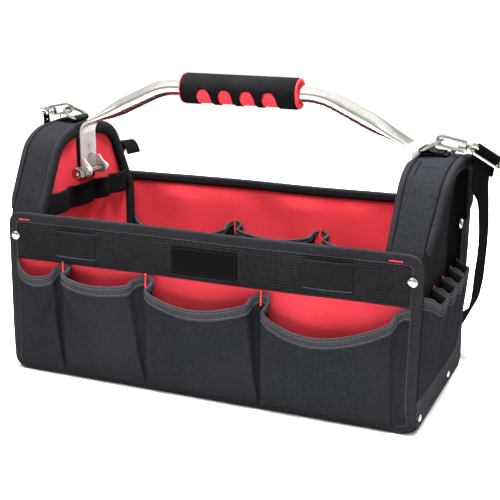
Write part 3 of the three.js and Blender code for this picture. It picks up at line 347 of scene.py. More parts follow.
def cut_plate(name, outline, half, bevel, place, material):
    """Flat outline given thickness to both sides, with bevelled edges, put in place by a function."""
    made = bmesh.new()
    face = made.faces.new([made.verts.new(Vector((x, y, -half)) * MM) for x, y in outline])
    grown = bmesh.ops.extrude_face_region(made, geom=[face])
    top = [v for v in grown["geom"] if isinstance(v, bmesh.types.BMVert)]
    bmesh.ops.translate(made, verts=top, vec=Vector((0, 0, 2 * half * MM)))
    bmesh.ops.recalc_face_normals(made, faces=made.faces[:])
    rims = [e for e in made.edges if abs(e.verts[0].co.z - e.verts[1].co.z) < 1e-9]
    bmesh.ops.bevel(made, geom=rims, offset=bevel * MM, segments=2, profile=0.6, affect="EDGES")
    for v in made.verts:
        v.co = Vector(place(np.array(v.co) / MM) * MM)
    bmesh.ops.recalc_face_normals(made, faces=made.faces[:])
    mesh = bpy.data.meshes.new(name)
    made.to_mesh(mesh)
    made.free()
    mesh.uv_layers.new(name="Weave")
    piece = add_piece(name, mesh, material)
    mesh.set_sharp_from_angle(angle=SHARP)
    return piece


def cut_away(piece, cutter):
    """Takes a cutter's volume out of a piece and removes the cutter."""
    tool = piece.modifiers.new("cut", "BOOLEAN")
    tool.operation = "DIFFERENCE"
    tool.object = cutter
    tool.solver = "EXACT"
    bpy.context.view_layer.update()
    shaped = piece.evaluated_get(bpy.context.evaluated_depsgraph_get())
    mesh = bpy.data.meshes.new_from_object(shaped)
    piece.modifiers.remove(tool)
    old = piece.data
    piece.data = mesh
    mesh.name = piece.name
    bpy.data.meshes.remove(old)
    bpy.data.objects.remove(cutter)


def merge(name, pieces):
    """Joins pieces of one material into one mesh."""
    with bpy.context.temp_override(active_object=pieces[0], selected_editable_objects=pieces):
        bpy.ops.object.join()
    pieces[0].name = name
    pieces[0].data.name = name
    return pieces[0]


def settle(piece, slot, *nodes, body="root"):
    """A piece rides on its body and stands for CAD nodes, which it hides; the slot is not used."""
    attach(piece, body)
    if nodes:
        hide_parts(*nodes)


def lay(piece, slot, nodes, flat, held, rests_on, **area):
    """Settles a sheet of cloth; its flat size in millimetres is not used."""
    settle(piece, slot, *nodes)


# Stitches: short rounded lengths of thread along rows of points, each with its outward direction
STITCH_RINGS = ((-0.5, 0.45), (-0.3, 1.0), (0.3, 1.0), (0.5, 0.45))
STITCH_SIDES = 5
STITCH_FLATNESS = 0.8


def stitches(name, rows, material, slot, pitch=3.4, length=2.4, width=0.6, across=False):
    turn = arc(1.0, 0, 2 * math.pi * (1 - 1 / STITCH_SIDES), STITCH_SIDES)[:, None]
    points = []
    for path, normal in rows:
        along = lengths(path)
        count = max(1, int(along[-1] / pitch))
        centres = (np.arange(count) + 0.5) * along[-1] / count
        at = sample(centres, along, path)
        run = unit(sample(centres, along, np.gradient(path, axis=0)))
        out = square_to(unit(sample(centres, along, np.broadcast_to(normal, path.shape))), run)
        side = np.cross(out, run)
        if across:
            run, side = side, -run
        ring = turn[..., :1] * side + STITCH_FLATNESS * turn[..., 1:] * out
        rings = [at + run * offset * length + ring * share * width / 2 for offset, share in STITCH_RINGS]
        points.append(np.stack(rings).transpose(2, 0, 1, 3).reshape(-1, 3))
    points = np.concatenate(points)
    count = len(STITCH_RINGS)
    faces, uvs = tube(count, STITCH_SIDES, range(count), range(STITCH_SIDES + 1))
    starts = range(0, len(points), count * STITCH_SIDES)
    faces = [tuple(start + corner for corner in face) for start in starts for face in faces]
    settle(add_mesh(name, points, faces, uvs * len(starts), material), slot)


# Materials
DULL_SPECULAR = 0.0
# Handle's flattened ends: satin below this height, in metres
SATIN = {"from": 0.247, "to": 0.254, "metallic": 0.35, "roughness": 0.42, "colour": (0.40, 0.39, 0.375)}
# The rear half of an end wall is drawn darker, as painted shade: place along the depth in metres, and fall of
# the shade
REAR_PAINTED_SHADE = {"from": -0.004, "to": 0.007, "drop": 0.42}


class Finish:
    """A procedural material with its Principled shader at hand."""

    def __init__(self, name, colour, roughness, metallic=0.0):
        self.material = bpy.data.materials.new(name)
        self.material.use_nodes = True
        self.tree = self.material.node_tree
        self.shader = self.tree.nodes["Principled BSDF"]
        self.fill(self.shader, {"Base Color": (*colour, 1), "Roughness": roughness, "Metallic": metallic})
        if metallic == 0:
            self.fill(self.shader, {"Specular IOR Level": DULL_SPECULAR})

    def fill(self, node, values):
        for key, value in values.items():
            node.inputs[key].default_value = value

    def node(self, kind, values=(), **settings):
        made = self.tree.nodes.new(kind)
        for key, value in settings.items():
            setattr(made, key, value)
        self.fill(made, dict(values))
        return made

    def link(self, source, target):
        self.tree.links.new(source, target)

    def to_shader(self, key, socket):
        self.link(socket, self.shader.inputs[key])

    def math(self, operation, *values):
        made = self.node("ShaderNodeMath", operation=operation)
        for socket, value in zip(made.inputs, values):
            if isinstance(value, (int, float)):
                socket.default_value = value
            else:
                self.link(value, socket)
        return made.outputs[0]

    def wave(self, place, pitch):
        return self.math("SINE", self.math("MULTIPLY", place, math.pi / pitch))

    def split(self, source):
        made = self.node("ShaderNodeSeparateXYZ")
        self.link(source, made.inputs[0])
        return made.outputs

    def weave_place(self):
        return self.split(self.node("ShaderNodeUVMap", uv_map="Weave").outputs["UV"])[:2]

    def object_place(self):
        return self.node("ShaderNodeTexCoord").outputs["Object"]

    def noise(self, scale, detail, roughness):
        values = {"Scale": scale, "Detail": detail, "Roughness": roughness}
        made = self.node("ShaderNodeTexNoise", values)
        self.link(self.object_place(), made.inputs["Vector"])
        return made.outputs[0]

    def past(self, axis, low, high):
        """Rises from 0 to 1 where the place along an axis passes from low to high, in metres."""
        values = {"From Min": low, "From Max": high, "To Min": 0.0, "To Max": 1.0}
        made = self.node("ShaderNodeMapRange", values, interpolation_type="SMOOTHSTEP")
        self.link(self.split(self.object_place())[axis], made.inputs["Value"])
        return made.outputs["Result"]

    def colours(self, factor, *stops):
        made = self.node("ShaderNodeValToRGB")
        for stop, (place, colour) in zip(made.color_ramp.elements, stops):
            stop.position = place
            stop.color = (*colour, 1)
        self.link(factor, made.inputs[0])
        self.to_shader("Base Color", made.outputs[0])

    def vary_roughness(self, factor, gain, base):
        self.to_shader("Roughness", self.math("MULTIPLY_ADD", factor, gain, base))

    def bump(self, height, strength, distance):
        made = self.node("ShaderNodeBump", {"Strength": strength, "Distance": distance})
        self.link(height, made.inputs["Height"])
        if self.shader.inputs["Normal"].is_linked:
            self.link(self.shader.inputs["Normal"].links[0].from_socket, made.inputs["Normal"])
        self.to_shader("Normal", made.outputs[0])

    def sheen(self, weight, roughness, tint):
        values = {"Sheen Weight": weight, "Sheen Roughness": roughness, "Sheen Tint": (*tint, 1)}
        self.fill(self.shader, values)

    def cloth_sheen(self, light):
        self.sheen(0.02, 0.4, tuple(min(1.0, c * 3 + 0.05) for c in light))


def woven(name, dark, light, pitch, roughness, depth, grain, rear=None):
    """Plain weave of two sets of round threads, with slow shade changes and a soft sheen."""
    made = Finish(name, light, roughness)
    warp, weft = (made.wave(place, pitch) for place in made.weave_place())
    over = made.math("GREATER_THAN", made.math("MULTIPLY", warp, weft), 0.0)
    upper = made.math("MULTIPLY", made.math("ABSOLUTE", warp), over)
    lower = made.math("MULTIPLY", made.math("ABSOLUTE", weft), made.math("SUBTRACT", 1.0, over))
    height = made.math("ADD", upper, lower)
    slow = made.noise(16.0, 4.0, 0.6)
    fine = made.noise(520.0, 2.0, 0.6)
    # The weave's height darkens the colour where the threads dip: painted shade between threads; the noise
    # adds random tone
    shade = made.math("MULTIPLY_ADD", height, 0.4, made.math("MULTIPLY", slow, 0.4))
    shade = made.math("MULTIPLY_ADD", made.math("SUBTRACT", fine, 0.5), grain, shade)
    # Given a rear setting, the colour darkens towards the rear along the depth: painted shade
    if rear is not None:
        shade = made.math("MULTIPLY_ADD", made.past("Y", rear["from"], rear["to"]), -rear["drop"], shade)
    made.colours(shade, (0.12, dark), (0.8, light))
    made.vary_roughness(slow, 0.18, roughness - 0.09)
    made.bump(height, 0.5, depth)
    made.bump(fine, 0.25, depth)
    made.cloth_sheen(light)
    return made.material


def ribbed(name, dark, light, pitch, roughness, depth):
    """Webbing or tape with ribs across its length and a fine thread."""
    made = Finish(name, light, roughness)
    u, v = made.weave_place()
    rib = made.math("ABSOLUTE", made.wave(u, pitch))
    slant = made.math("MULTIPLY", v, 2.6 * math.pi / pitch)
    twill = made.math("SINE", made.math("MULTIPLY_ADD", u, 2.2 * math.pi / pitch, slant))
    slow = made.noise(14.0, 4.0, 0.6)
    fine = made.noise(640.0, 2.0, 0.6)
    # The rib's height darkens the colour in the valleys between ribs: painted shade; the noise adds random
    # tone
    shade = made.math("MULTIPLY_ADD", rib, 0.4, made.math("MULTIPLY", slow, 0.35))
    shade = made.math("MULTIPLY_ADD", made.math("SUBTRACT", fine, 0.4), 0.9, shade)
    shade = made.math("MULTIPLY_ADD", twill, 0.03, shade)
    made.colours(shade, (0.15, dark), (0.85, light))
    made.vary_roughness(slow, 0.2, roughness - 0.1)
    made.bump(rib, 0.45, depth)
    made.bump(fine, 0.3, depth)
    made.cloth_sheen(light)
    return made.material


def metal(name, dark, light, roughness, metallic=1.0, satin=None):
    """Plated steel with faint clouding and fine scratches; it may be satin below a height."""
    made = Finish(name, light, roughness, metallic)
    slow = made.noise(55.0, 5.0, 0.65)
    fine = made.noise(700.0, 3.0, 0.7)
    made.colours(slow, (0.25, dark), (0.6, light))
    made.vary_roughness(slow, 0.16, roughness - 0.07)
    made.bump(fine, 0.06, 0.00015)
    if satin is not None:
        bright = made.past("Z", satin["from"], satin["to"])
        dull = satin["metallic"]
        made.to_shader("Metallic", made.math("MULTIPLY_ADD", bright, 1 - dull, dull))
        made.vary_roughness(bright, roughness - satin["roughness"], satin["roughness"])
        mix = made.node("ShaderNodeMix", data_type="RGBA")
        mix.inputs[6].default_value = (*satin["colour"], 1)
        made.link(bright, mix.inputs["Factor"])
        made.link(made.shader.inputs["Base Color"].links[0].from_socket, mix.inputs[7])
        made.to_shader("Base Color", mix.outputs[2])
    return made.material


def foam(name, dark, light):
    """Closed-cell foam with small pits."""
    made = Finish(name, light, 0.85)
    cells = made.node("ShaderNodeTexVoronoi", {"Scale": 950.0}, feature="F1")
    made.link(made.object_place(), cells.inputs["Vector"])
    slow = made.noise(40.0, 4.0, 0.6)
    # The cells darken the colour in the pits: painted shade; the slow noise adds random tone
    shade = made.math("MULTIPLY_ADD", cells.outputs["Distance"], 0.5, made.math("MULTIPLY", slow, 0.6))
    made.colours(shade, (0.2, dark), (0.8, light))
    made.vary_roughness(slow, 0.2, 0.72)
    made.bump(cells.outputs["Distance"], 0.35, 0.0004)
    made.bump(slow, 0.2, 0.0006)
    made.sheen(0.02, 0.5, (0.3, 0.3, 0.3))
    return made.material


# Cloth and tape: dark and light colour, thread pitch in millimetres, roughness, relief in metres, grain
BLACK_CLOTH = woven("black_cloth", (0.0034, 0.0037, 0.0044), (0.0124, 0.0133, 0.0152), 1.1, 0.9, 0.00035, 1.0)
# Black cloth of the end walls, darker than the other black cloth: painted shade; its rear half is darker
# still
END_CLOTH_PAINTED_SHADE = woven("end_cloth", (0.0012, 0.0012, 0.0013), (0.0104, 0.0108, 0.0116), 1.1, 0.9, 0.00035, 1.0,
                  REAR_PAINTED_SHADE)
RED_CLOTH = woven("red_cloth", (0.30, 0.016, 0.023), (0.57, 0.044, 0.056), 1.0, 0.85, 0.0003, 0.4)
# Darker copy of the red cloth for the front wall: painted shade
FRONT_RED_PAINTED_SHADE = woven("front_red_cloth", (0.22, 0.012, 0.018), (0.44, 0.036, 0.046), 1.0, 0.85, 0.0003, 0.4)
BINDING = ribbed("binding_tape", (0.0042, 0.0042, 0.0048), (0.0145, 0.0145, 0.0162), 0.9, 0.8, 0.00025)
POCKET_TAPE = ribbed("pocket_tape", (0.008, 0.008, 0.009), (0.027, 0.027, 0.030), 0.9, 0.78, 0.00025)
WEBBING = ribbed("webbing", (0.0008, 0.0008, 0.0009), (0.0128, 0.0128, 0.0138), 2.7, 0.75, 0.0006)
SMOOTH_WEBBING = ribbed("smooth_webbing", (0.0024, 0.0024, 0.0027), (0.0088, 0.0088, 0.0095), 0.7, 0.75,
                        0.00018)
PATCH_CLOTH = ribbed("patch_cloth", (0.001, 0.001, 0.0012), (0.0036, 0.0036, 0.004), 0.5, 0.6, 0.00012)
STRAP_WEBBING = ribbed("strap_webbing", (0.0008, 0.0008, 0.0009), (0.0034, 0.0034, 0.0037), 1.5, 0.75,
                       0.00035)
BLACK_THREAD = ribbed("black_thread", (0.0006, 0.0006, 0.0007), (0.0022, 0.0022, 0.0024), 0.5, 0.7, 0.0001)
DARK_THREAD = ribbed("dark_thread", (0.004, 0.004, 0.0045), (0.015, 0.015, 0.016), 0.5, 0.7, 0.0001)
THREAD = ribbed("thread", (0.02, 0.02, 0.022), (0.06, 0.06, 0.065), 0.5, 0.7, 0.0001)
RED_THREAD = ribbed("red_thread", (0.42, 0.018, 0.026), (0.78, 0.055, 0.068), 0.5, 0.7, 0.0001)
NICKEL = metal("nickel_steel", (0.24, 0.225, 0.19), (0.44, 0.42, 0.375), 0.22)
HANDLE_STEEL = metal("handle_steel", (0.54, 0.52, 0.47), (0.76, 0.74, 0.69), 0.17, satin=SATIN)
PLATE = metal("plate_steel", (0.46, 0.45, 0.43), (0.62, 0.61, 0.59), 0.34, 0.6)
BLACK_FOAM = foam("black_foam", (0.0016, 0.0016, 0.0018), (0.0064, 0.0064, 0.0069))
RED_FOAM = foam("red_foam", (0.42, 0.018, 0.028), (0.72, 0.045, 0.062))


# Places on the walls: along the wall, out of it, and up
def on_front(along, out, z):
    return in_space(along, -HALF_DEPTH - out, z)


def on_back(along, out, z):
    return in_space(along, HALF_DEPTH - WALL - out, z)


def on_right(along, out, z):
    return in_space(HALF_LENGTH + out, along, z)


def direction(place, along, out):
    """Direction in space of one that is given along and out of a wall."""
    return place(along, out, 0.0) - place(0.0, 0.0, 0.0)


# Long walls and the tape round their edges
WALL_CORNER = 12.0
FOOT_CORNER = 12.0
VISIBLE_FOOT = 2.4
RED_TUCK = 4.0
# Tape section: w runs in from the wall's edge, h out of the wall's face
TAPE_OVER = ((10.0, 0.10), (9.85, 0.75), (9.0, 1.05), (5.0, 1.2), (1.6, 1.25), (0.0, 1.05), (-0.9, 0.3),
             (-1.2, -0.9), (-1.1, -2.0), (-0.6, -3.0), (0.4, -3.55), (2.0, -3.7), (6.0, -3.65), (8.6, -3.5),
             (8.9, -3.0), (8.6, -2.62), (0.6, -2.55), (0.15, -1.9), (0.15, -0.5), (0.6, 0.05))
# At the sides the part behind the wall is drawn in to the edge; at the foot the tape is narrower
TAPE = {"width": 10.0, "foot_width": 7.6, "side_back": -2.45, "edge": 0.6, "spacing": 4.0, "flat": 22.0}
TAPE_SEAM = {"in": 8.4, "stand": 1.12}


def lining_waves(x, z, top):
    """Slack of a wall's cloth between its seams: slow upright waves that die out at the edges."""
    fade = smoothstep(z, 40, 120) * (1 - smoothstep(z, top - 26, top - 9))
    wave = np.sin(x / 23 + 0.8 * np.sin(z / 28)) + 0.6 * np.sin(x / 11.5 + z / 40 + 1.7)
    return (1.3 + 1.1 * wave) * fade


def wall_grid(height, y, slack, tuck):
    """Grid over a long wall; its upright edges end the tuck short of the wall's own, inside the tape."""
    turn = np.linspace(0, math.pi / 2, 9)
    z = np.concatenate([
        VISIBLE_FOOT + FOOT_CORNER * (1 - np.cos(turn)),
        np.linspace(VISIBLE_FOOT + FOOT_CORNER + 5, height - WALL_CORNER - 5, 26),
        height - WALL_CORNER * (1 - np.sin(turn)),
    ])[:, None]
    half = HALF_LENGTH - round_inset(z, VISIBLE_FOOT, FOOT_CORNER) - round_inset(-z, -height, WALL_CORNER)
    share = np.linspace(-1, 1, 150)
    x = (half - tuck) * share
    return soft(in_space(x, y - slack * lining_waves(x, z, height) * (1 - np.abs(share) ** 8), z))


def wall_edge(height):
    """Edge of a long wall from the middle of its foot round to the same place, and the way in from it."""
    foot, top = HALF_LENGTH - FOOT_CORNER, HALF_LENGTH - WALL_CORNER
    low, high = VISIBLE_FOOT + FOOT_CORNER, height - WALL_CORNER
    corners = ((foot, low, FOOT_CORNER, -90), (top, high, WALL_CORNER, 0),
               (-top, high, WALL_CORNER, 90), (-foot, low, FOOT_CORNER, 180))
    line = np.concatenate([[(0.0, VISIBLE_FOOT)], corner_arcs(corners, 13)])
    path = closed_resample(line, int(lengths(closed(line))[-1] / TAPE["spacing"]))
    return path, left_of(unit(np.roll(path, -1, axis=0) - np.roll(path, 1, axis=0)))


def wall_binding(side, height, facing):
    """Tape folded over the whole edge of a long wall: wide on top and at the sides, narrow at the foot."""
    path, inward = wall_edge(height)
    top = smoothstep(path[:, 1:], height - 22, height - 10)
    foot = smoothstep(-path[:, 1:], -26, -12)
    w, h = np.asarray(TAPE_OVER).T
    behind = h < TAPE["side_back"]
    w = np.where(behind & (w > TAPE["edge"]), TAPE["edge"] + (w - TAPE["edge"]) * top, w)
    h = np.where(behind, TAPE["side_back"] + (h - TAPE["side_back"]) * top, h)
    scale = 1 - (1 - TAPE["foot_width"] / TAPE["width"]) * foot

    def place(w, h):
        x, z = (path[:, k:k + 1] + inward[:, k:k + 1] * w for k in range(2))
        return soft(in_space(x, facing * (HALF_DEPTH + h), z))

    tape = loft(side + "_wall_binding", place(np.where(w > 0, w * scale, w), h), BINDING, loop=True)
    nodes = [side + "_edge_binding", "bottom_binding_" + side]
    lay(tape, "binding_tape", nodes, (TAPE["flat"], lengths(closed(path))[-1]), "folded", [side + "_panel"])
    return place(TAPE_SEAM["in"] * scale, TAPE_SEAM["stand"])[:, 0], (0.0, facing, 0.0)


def make_long_walls():
    walls = named("name height y slack tuck thick material flip slot nodes", (
        # The front wall takes the darker copy of the red cloth: painted shade
        ("front_wall", FRONT_TOP, -HALF_DEPTH, 0.0, RED_TUCK, WALL, FRONT_RED_PAINTED_SHADE, True, "red_cloth",
         ["front_panel"]),
        ("back_wall", BACK_TOP, HALF_DEPTH - WALL, 1.0, RED_TUCK, WALL - 0.6, RED_CLOTH, True, "red_cloth",
         ["back_panel"]),
        ("back_cover", BACK_TOP, HALF_DEPTH, 0.0, 0.0, 0.5, BLACK_CLOTH, False, "black_cloth", []),
    ))
    for row in walls:
        grid = wall_grid(row["height"], row["y"], row["slack"], row["tuck"])
        piece = cloth(row["name"], grid, row["thick"], row["material"], row["flip"])
        size = (2 * HALF_LENGTH, row["height"] - VISIBLE_FOOT)
        lay(piece, row["slot"], row["nodes"], size, "stretched", ["base_board"])
    seams = [wall_binding("front", FRONT_TOP, -1), wall_binding("back", BACK_TOP, 1)]
    stitches("wall_binding_stitches", seams, THREAD, "binding_tape")


BASE_CORNER = 12.0
BASE_INSET = (1.4, 2.6)
# Rings of the base board: inset from its plan and height
BASE_RINGS = ((12.0, 0.0), (1.6, 0.0), (0.45, 0.45), (0.0, 1.6), (0.0, 3.2), (0.8, 4.0), (12.0, 4.0))


def make_base():
    """Stiff board under the bag, covered with cloth and rounded along its lower edge."""
    half = np.array([HALF_LENGTH, HALF_DEPTH]) - BASE_INSET
    x, y = half - BASE_CORNER
    quarters = ((x, -y, -90), (x, y, 0), (-x, y, 90), (-x, -y, 180))
    plan = corner_arcs([(a, b, BASE_CORNER, start) for a, b, start in quarters], 12)
    rings = []
    for inset, z in BASE_RINGS:
        flat = plan * (1 - inset / half)
        rings.append(in_space(flat[:, 0], flat[:, 1], z))
    settle(loft("base_board", rings, BLACK_CLOTH), "black_cloth", "base_panel")


# Webbing band on the front wall, its two loops and a blank patch
BAND = {"half": 207.0, "bottom": 121.5, "top": 161.0, "stand": 1.5, "tucked": 0.75, "thick": 0.7}
BAND_HEIGHTS = (0, 0.5, 1.6, 3.2, 5.5, 12, 20, 28, 34, 36.5, 38.4, 39.5)
BAND_RIB = {"pitch": 2.7, "depth": 0.7, "samples": 6}
BAND_PIECES = named("name node from to bottom top stand corner bulge columns rows material", (
    ("smooth_band_loop_left", "band_loop_left", -158.0, -112.0, 126.0, 156.0, 0.75, 1.0, 2.4, 40, 14,
     SMOOTH_WEBBING),
    ("smooth_band_loop_right", "band_loop_right", 105.0, 153.0, 126.0, 157.0, 0.75, 1.0, 2.4, 40, 14,
     SMOOTH_WEBBING),
    ("blank_patch", "band_patch", -29.0, 40.0, 127.0, 154.0, 0.85, 1.6, 0.0, 60, 24, PATCH_CLOTH),
))
BAND_PIECE_THICK = 0.9
BAND_RIM = {"width": 1.2, "drop": 0.55}
PATCH_SEAM = {"inset": 2.0, "stand": 0.95}


def rounded_sheet(row, face):
    """Flat piece on the front band with rounded corners and turned-down rims."""
    half_x, half_z = (row["to"] - row["from"]) / 2, (row["top"] - row["bottom"]) / 2
    corner = row["corner"]
    height = (signed_power(np.linspace(-1, 1, row["rows"]), 0.8) * half_z)[:, None]
    reach = np.maximum(np.abs(height) - (half_z - corner), 0)
    width = half_x - corner + np.sqrt(np.maximum(corner**2 - reach**2, 0))
    along = np.linspace(-1, 1, row["columns"]) * width
    rim = smoothstep(np.minimum(width - np.abs(along), half_z - np.abs(height)), 0, BAND_RIM["width"])
    swell = row["bulge"] * np.sqrt(np.maximum(1 - (along / half_x) ** 2, 0))
    out = face + row["stand"] - BAND_RIM["drop"] * (1 - rim) + swell
    return soft(on_front(along + row["from"] + half_x, out, height + row["bottom"] + half_z))


def make_front_band():
    low, high = BAND["bottom"], BAND["top"]
    count = int(2 * BAND["half"] / BAND_RIB["pitch"]) * BAND_RIB["samples"]
    x = np.linspace(-BAND["half"], BAND["half"], count)
    z = (np.array(BAND_HEIGHTS) + low)[:, None]
    mask = smoothstep(z, low + 2.4, low + 5.5) * (1 - smoothstep(z, high - 2.6, high - 0.6))
    rib = BAND_RIB["depth"] * np.abs(np.sin(math.pi * x / BAND_RIB["pitch"])) * mask
    edge = smoothstep(np.minimum(z - low, high - z), -0.1, 1.4)
    tucked = np.maximum(smoothstep(np.abs(x), 200.5, 204.5), smoothstep(z, high - 4.5, high - 1.5))
    out = BAND["stand"] - 0.5 * (1 - edge) + rib
    out = out + (BAND["tucked"] - out) * tucked
    band = cloth("webbing_band", soft(on_front(x, out, z)), BAND["thick"], WEBBING, flip=True)
    lay(band, "webbing", ["front_webbing_band"], (2 * BAND["half"], high - low), "stretched", ["front_wall"])
    face = BAND["stand"] + BAND_RIB["depth"]
    rows, bars = [], []
    for row in BAND_PIECES:
        grid = rounded_sheet(row, face)
        piece = cloth(row["name"], grid, BAND_PIECE_THICK, row["material"], flip=True)
        size = (row["to"] - row["from"], row["top"] - row["bottom"])
        lay(piece, "webbing", [row["node"]], size, "stretched", ["webbing_band"])
        if row["bulge"]:
            rows.append((grid[2] + (0, -0.12, 0), FORWARD))
            bars += [(grid[:, side] + (0, -0.1, 0), FORWARD) for side in (1, -2)]
            continue
        inset = PATCH_SEAM["inset"]
        x0, x1, z0, z1 = row["from"] + inset, row["to"] - inset, row["bottom"] + inset, row["top"] - inset
        ring = np.array([(x0, z0), (x1, z0), (x1, z1), (x0, z1), (x0, z0)])
        for a, b in zip(ring[:-1], ring[1:]):
            line = a + (b - a) * np.linspace(0, 1, 30)[:, None]
            bars.append((soft(on_front(line[:, 0], face + PATCH_SEAM["stand"], line[:, 1])), FORWARD))
    stitches("loop_edge_stitches", rows, THREAD, "binding_tape", pitch=2.6, length=2.2, width=0.8)
    stitches("band_stitches", bars, DARK_THREAD, "webbing", pitch=2.4, length=1.8, width=0.55)


# Pocket rows: one pleated cloth per row with one tape over its scooped mouths.
# A pocket's left side folds back behind its face in a narrow pleat; its right side leans in to the next seam.
MOUTH_POWER = 1.9
BULGE_POWER = 0.62
POCKET_THICK = 0.9
SEAM_OUT = 0.8
FACE_OUT = 2.5
FACE_MARGIN = 12.0
FACE_SHARES = (0.2, 0.35, 0.5, 0.65, 0.8)
FACE_SWELL = {"sides": 1.02, "middle": 0.06}
POCKET_HEIGHTS = 30
# Heights of the mouth's left end, dip and right end, the dip's place, the bulge and lean of the face,
# the height of the seam at the pocket's left, and the kinds of its two sides
POCKET_COLUMNS = "from to left dip right dip_at bulge lean peak start end"
FRONT_POCKETS = named(POCKET_COLUMNS, (
    (-207.0, -151.0, 120.5, 107.0, 117.5, 0.48, 11.0, 9.0, 121.0, "flat", "lean"),
    (-151.0, -57.0, 115.5, 106.0, 115.5, 0.42, 13.0, 14.0, 121.0, "pleat", "lean"),
    (-57.0, 65.0, 110.5, 96.0, 114.5, 0.42, 15.0, 9.0, 119.5, "pleat", "lean"),
    (65.0, 207.0, 105.5, 85.0, 119.0, 0.38, 14.0, 0.0, 118.5, "pleat", "crease"),
))
BACK_POCKETS = named(POCKET_COLUMNS, (
    (-179.0, -49.0, 128.0, 108.0, 130.0, 0.45, 10.0, 8.0, 129.0, "flat", "lean"),
    (-49.0, 54.0, 127.0, 119.0, 130.0, 0.5, 10.0, 8.0, 133.0, "pleat", "lean"),
    (54.0, 179.0, 126.0, 117.0, 129.0, 0.4, 10.0, 0.0, 133.0, "pleat", "crease"),
))
END_POCKETS = named(POCKET_COLUMNS, [
    (a, b, 128.0, 122.0, 125.0, 0.55, bulge, 2.0, 131.0, "rise", "tuck")
    for a, b, bulge in ((-96.0, -60.0, 13.0), (-60.0, -24.0, 13.0), (-24.0, 12.0, 13.0), (12.0, 46.0, 12.0))
])
# Rows of each kind of side: along at the foot, along gained at the mouth, out at the foot, share of the
# bulge, share of the way from the seam's peak down to the mouth
STARTS = {
    "pleat": ((0.7, 6.2, 1.1, 0.14, 0.05), (0.9, 9.2, 1.5, 0.40, 0.35), (0.9, 8.2, 1.9, 0.72, 0.7),
              (1.0, 5.2, 2.3, 0.90, 1.0), (2.4, 4.8, 2.5, 1.0, 1.05), (8.0, 4.0, 2.5, 1.02, None)),
    "flat": ((3.0, 1.0, 1.5, 0.42, None), (8.0, 2.0, 2.2, 0.82, None), (15.0, 3.0, 2.5, 1.0, None)),
    "rise": ((1.5, 0.5, 1.4, 0.28, 0.25), (4.0, 1.0, 2.0, 0.62, 0.7), (8.0, 1.5, 2.4, 0.86, None),
             (14.0, 2.0, 2.5, 1.0, None)),
}
# Places before the pocket's right seam, in the same columns, with the share of the lean taken off the gain
ENDINGS = {
    "lean": ((-9.0, -1.0, 2.5, 1.02, None, 1.0), (-3.2, 0.0, 2.4, 1.0, None, 1.0),
             (-2.3, 1.0, 2.0, 0.88, None, 1.0), (-2.0, 1.2, 1.6, 0.46, 0.25, 1.0),
             (-1.6, 0.8, 1.3, 0.16, 0.55, 0.85), (-0.8, 0.0, 1.1, 0.10, 0.85, 0.3)),
    "crease": ((-24.0, 0.0, 2.5, 1.02, None, 0.0), (-15.4, 0.0, 2.5, 1.0, None, 0.0),
               (-13.8, 0.2, 2.2, 0.86, None, 0.0), (-13.2, 0.8, 1.7, 0.40, 0.3, 0.0),
               (-12.0, 1.2, 1.3, 0.14, 0.6, 0.0), (-5.0, 0.0, 0.9, 0.05, 0.9, 0.0)),
    "tuck": ((-8.0, 1.0, 2.5, 1.1, None, 1.0), (-3.0, 2.0, 2.4, 1.12, None, 1.0),
             (-2.0, 2.6, 2.0, 0.95, None, 1.0), (-1.4, 0.4, 1.4, 0.4, 0.6, 0.5)),
}
# Soft dents in the front pockets' faces: middle, reach along and up, lean and depth
FRONT_DENTS = named("x z along up lean depth", (
    (-171.0, 76.0, 7.0, 26.0, -0.5, -6.0),
    (-190.0, 56.0, 9.0, 22.0, -0.3, 3.0),
    (-140.0, 96.0, 6.0, 20.0, 0.3, 1.8),
    (-137.0, 78.0, 5.5, 20.0, 0.5, -3.8),
    (-100.0, 50.0, 26.0, 30.0, 0.0, 1.0),
    (-35.0, 70.0, 18.0, 34.0, 0.15, -1.2),
    (25.0, 60.0, 24.0, 30.0, -0.1, 1.2),
    (95.0, 55.0, 22.0, 34.0, 0.1, 1.2),
    (150.0, 62.0, 26.0, 34.0, -0.1, -1.3),
))
# Section of the tape over the mouths: drop below the rim and stand off the cloth
POCKET_TAPE_SECTION = ((10.0, 0.05), (9.9, 0.55), (9.2, 1.0), (8.4, 0.85), (5.0, 0.95), (1.8, 0.9),
                       (0.8, 1.1), (-0.5, 0.8), (-1.0, -0.45), (-0.5, -1.6), (1.0, -1.9), (5.0, -1.85),
                       (8.6, -1.75), (9.0, -1.4), (8.7, -1.0), (0.5, -0.95), (0.1, -0.45), (0.5, 0.0))
POCKET_TAPE_FLAT = {"section": 22.5, "hem": 2.0}
POCKET_SEAMS = ((8.0, 0.95), (1.9, 0.98))
# The tack's columns: shift along, out, and its ends below and above the seam's peak
POCKET_TABLE = named("name pockets last_peak foot place dents node wall tape flip tack", (
    ("front_pocket_row", FRONT_POCKETS, 120.5, 6.6, on_front, FRONT_DENTS, "front_pockets", "front_wall", 1.0,
     True, (-0.2, 2.7, -12.0, 3.0)),
    ("back_pocket_row", BACK_POCKETS, 130.0, 5.0, on_back, (), "back_inner_pockets", "back_wall", 0.55,
     True, (0.0, 2.4, -12.0, 2.5)),
    ("end_pocket_row", END_POCKETS, 131.0, 34.3, on_right, (), "right_end_pockets", "end_face_right", 1.15,
     False, (0.5, 2.4, -7.0, 2.0)),
))
CORNER_TACK = {"at": (-196.0, 191.0), "half": 6.5, "out": 1.55, "z": 163.2}


def mouth(pocket, share):
    """Height of a pocket's scooped mouth at a share of its width."""
    at = pocket["dip_at"]
    side = pocket["left"] if share < at else pocket["right"]
    reach = at if share < at else 1 - at
    return pocket["dip"] + (side - pocket["dip"]) * min(1.0, abs(share - at) / reach) ** MOUTH_POWER


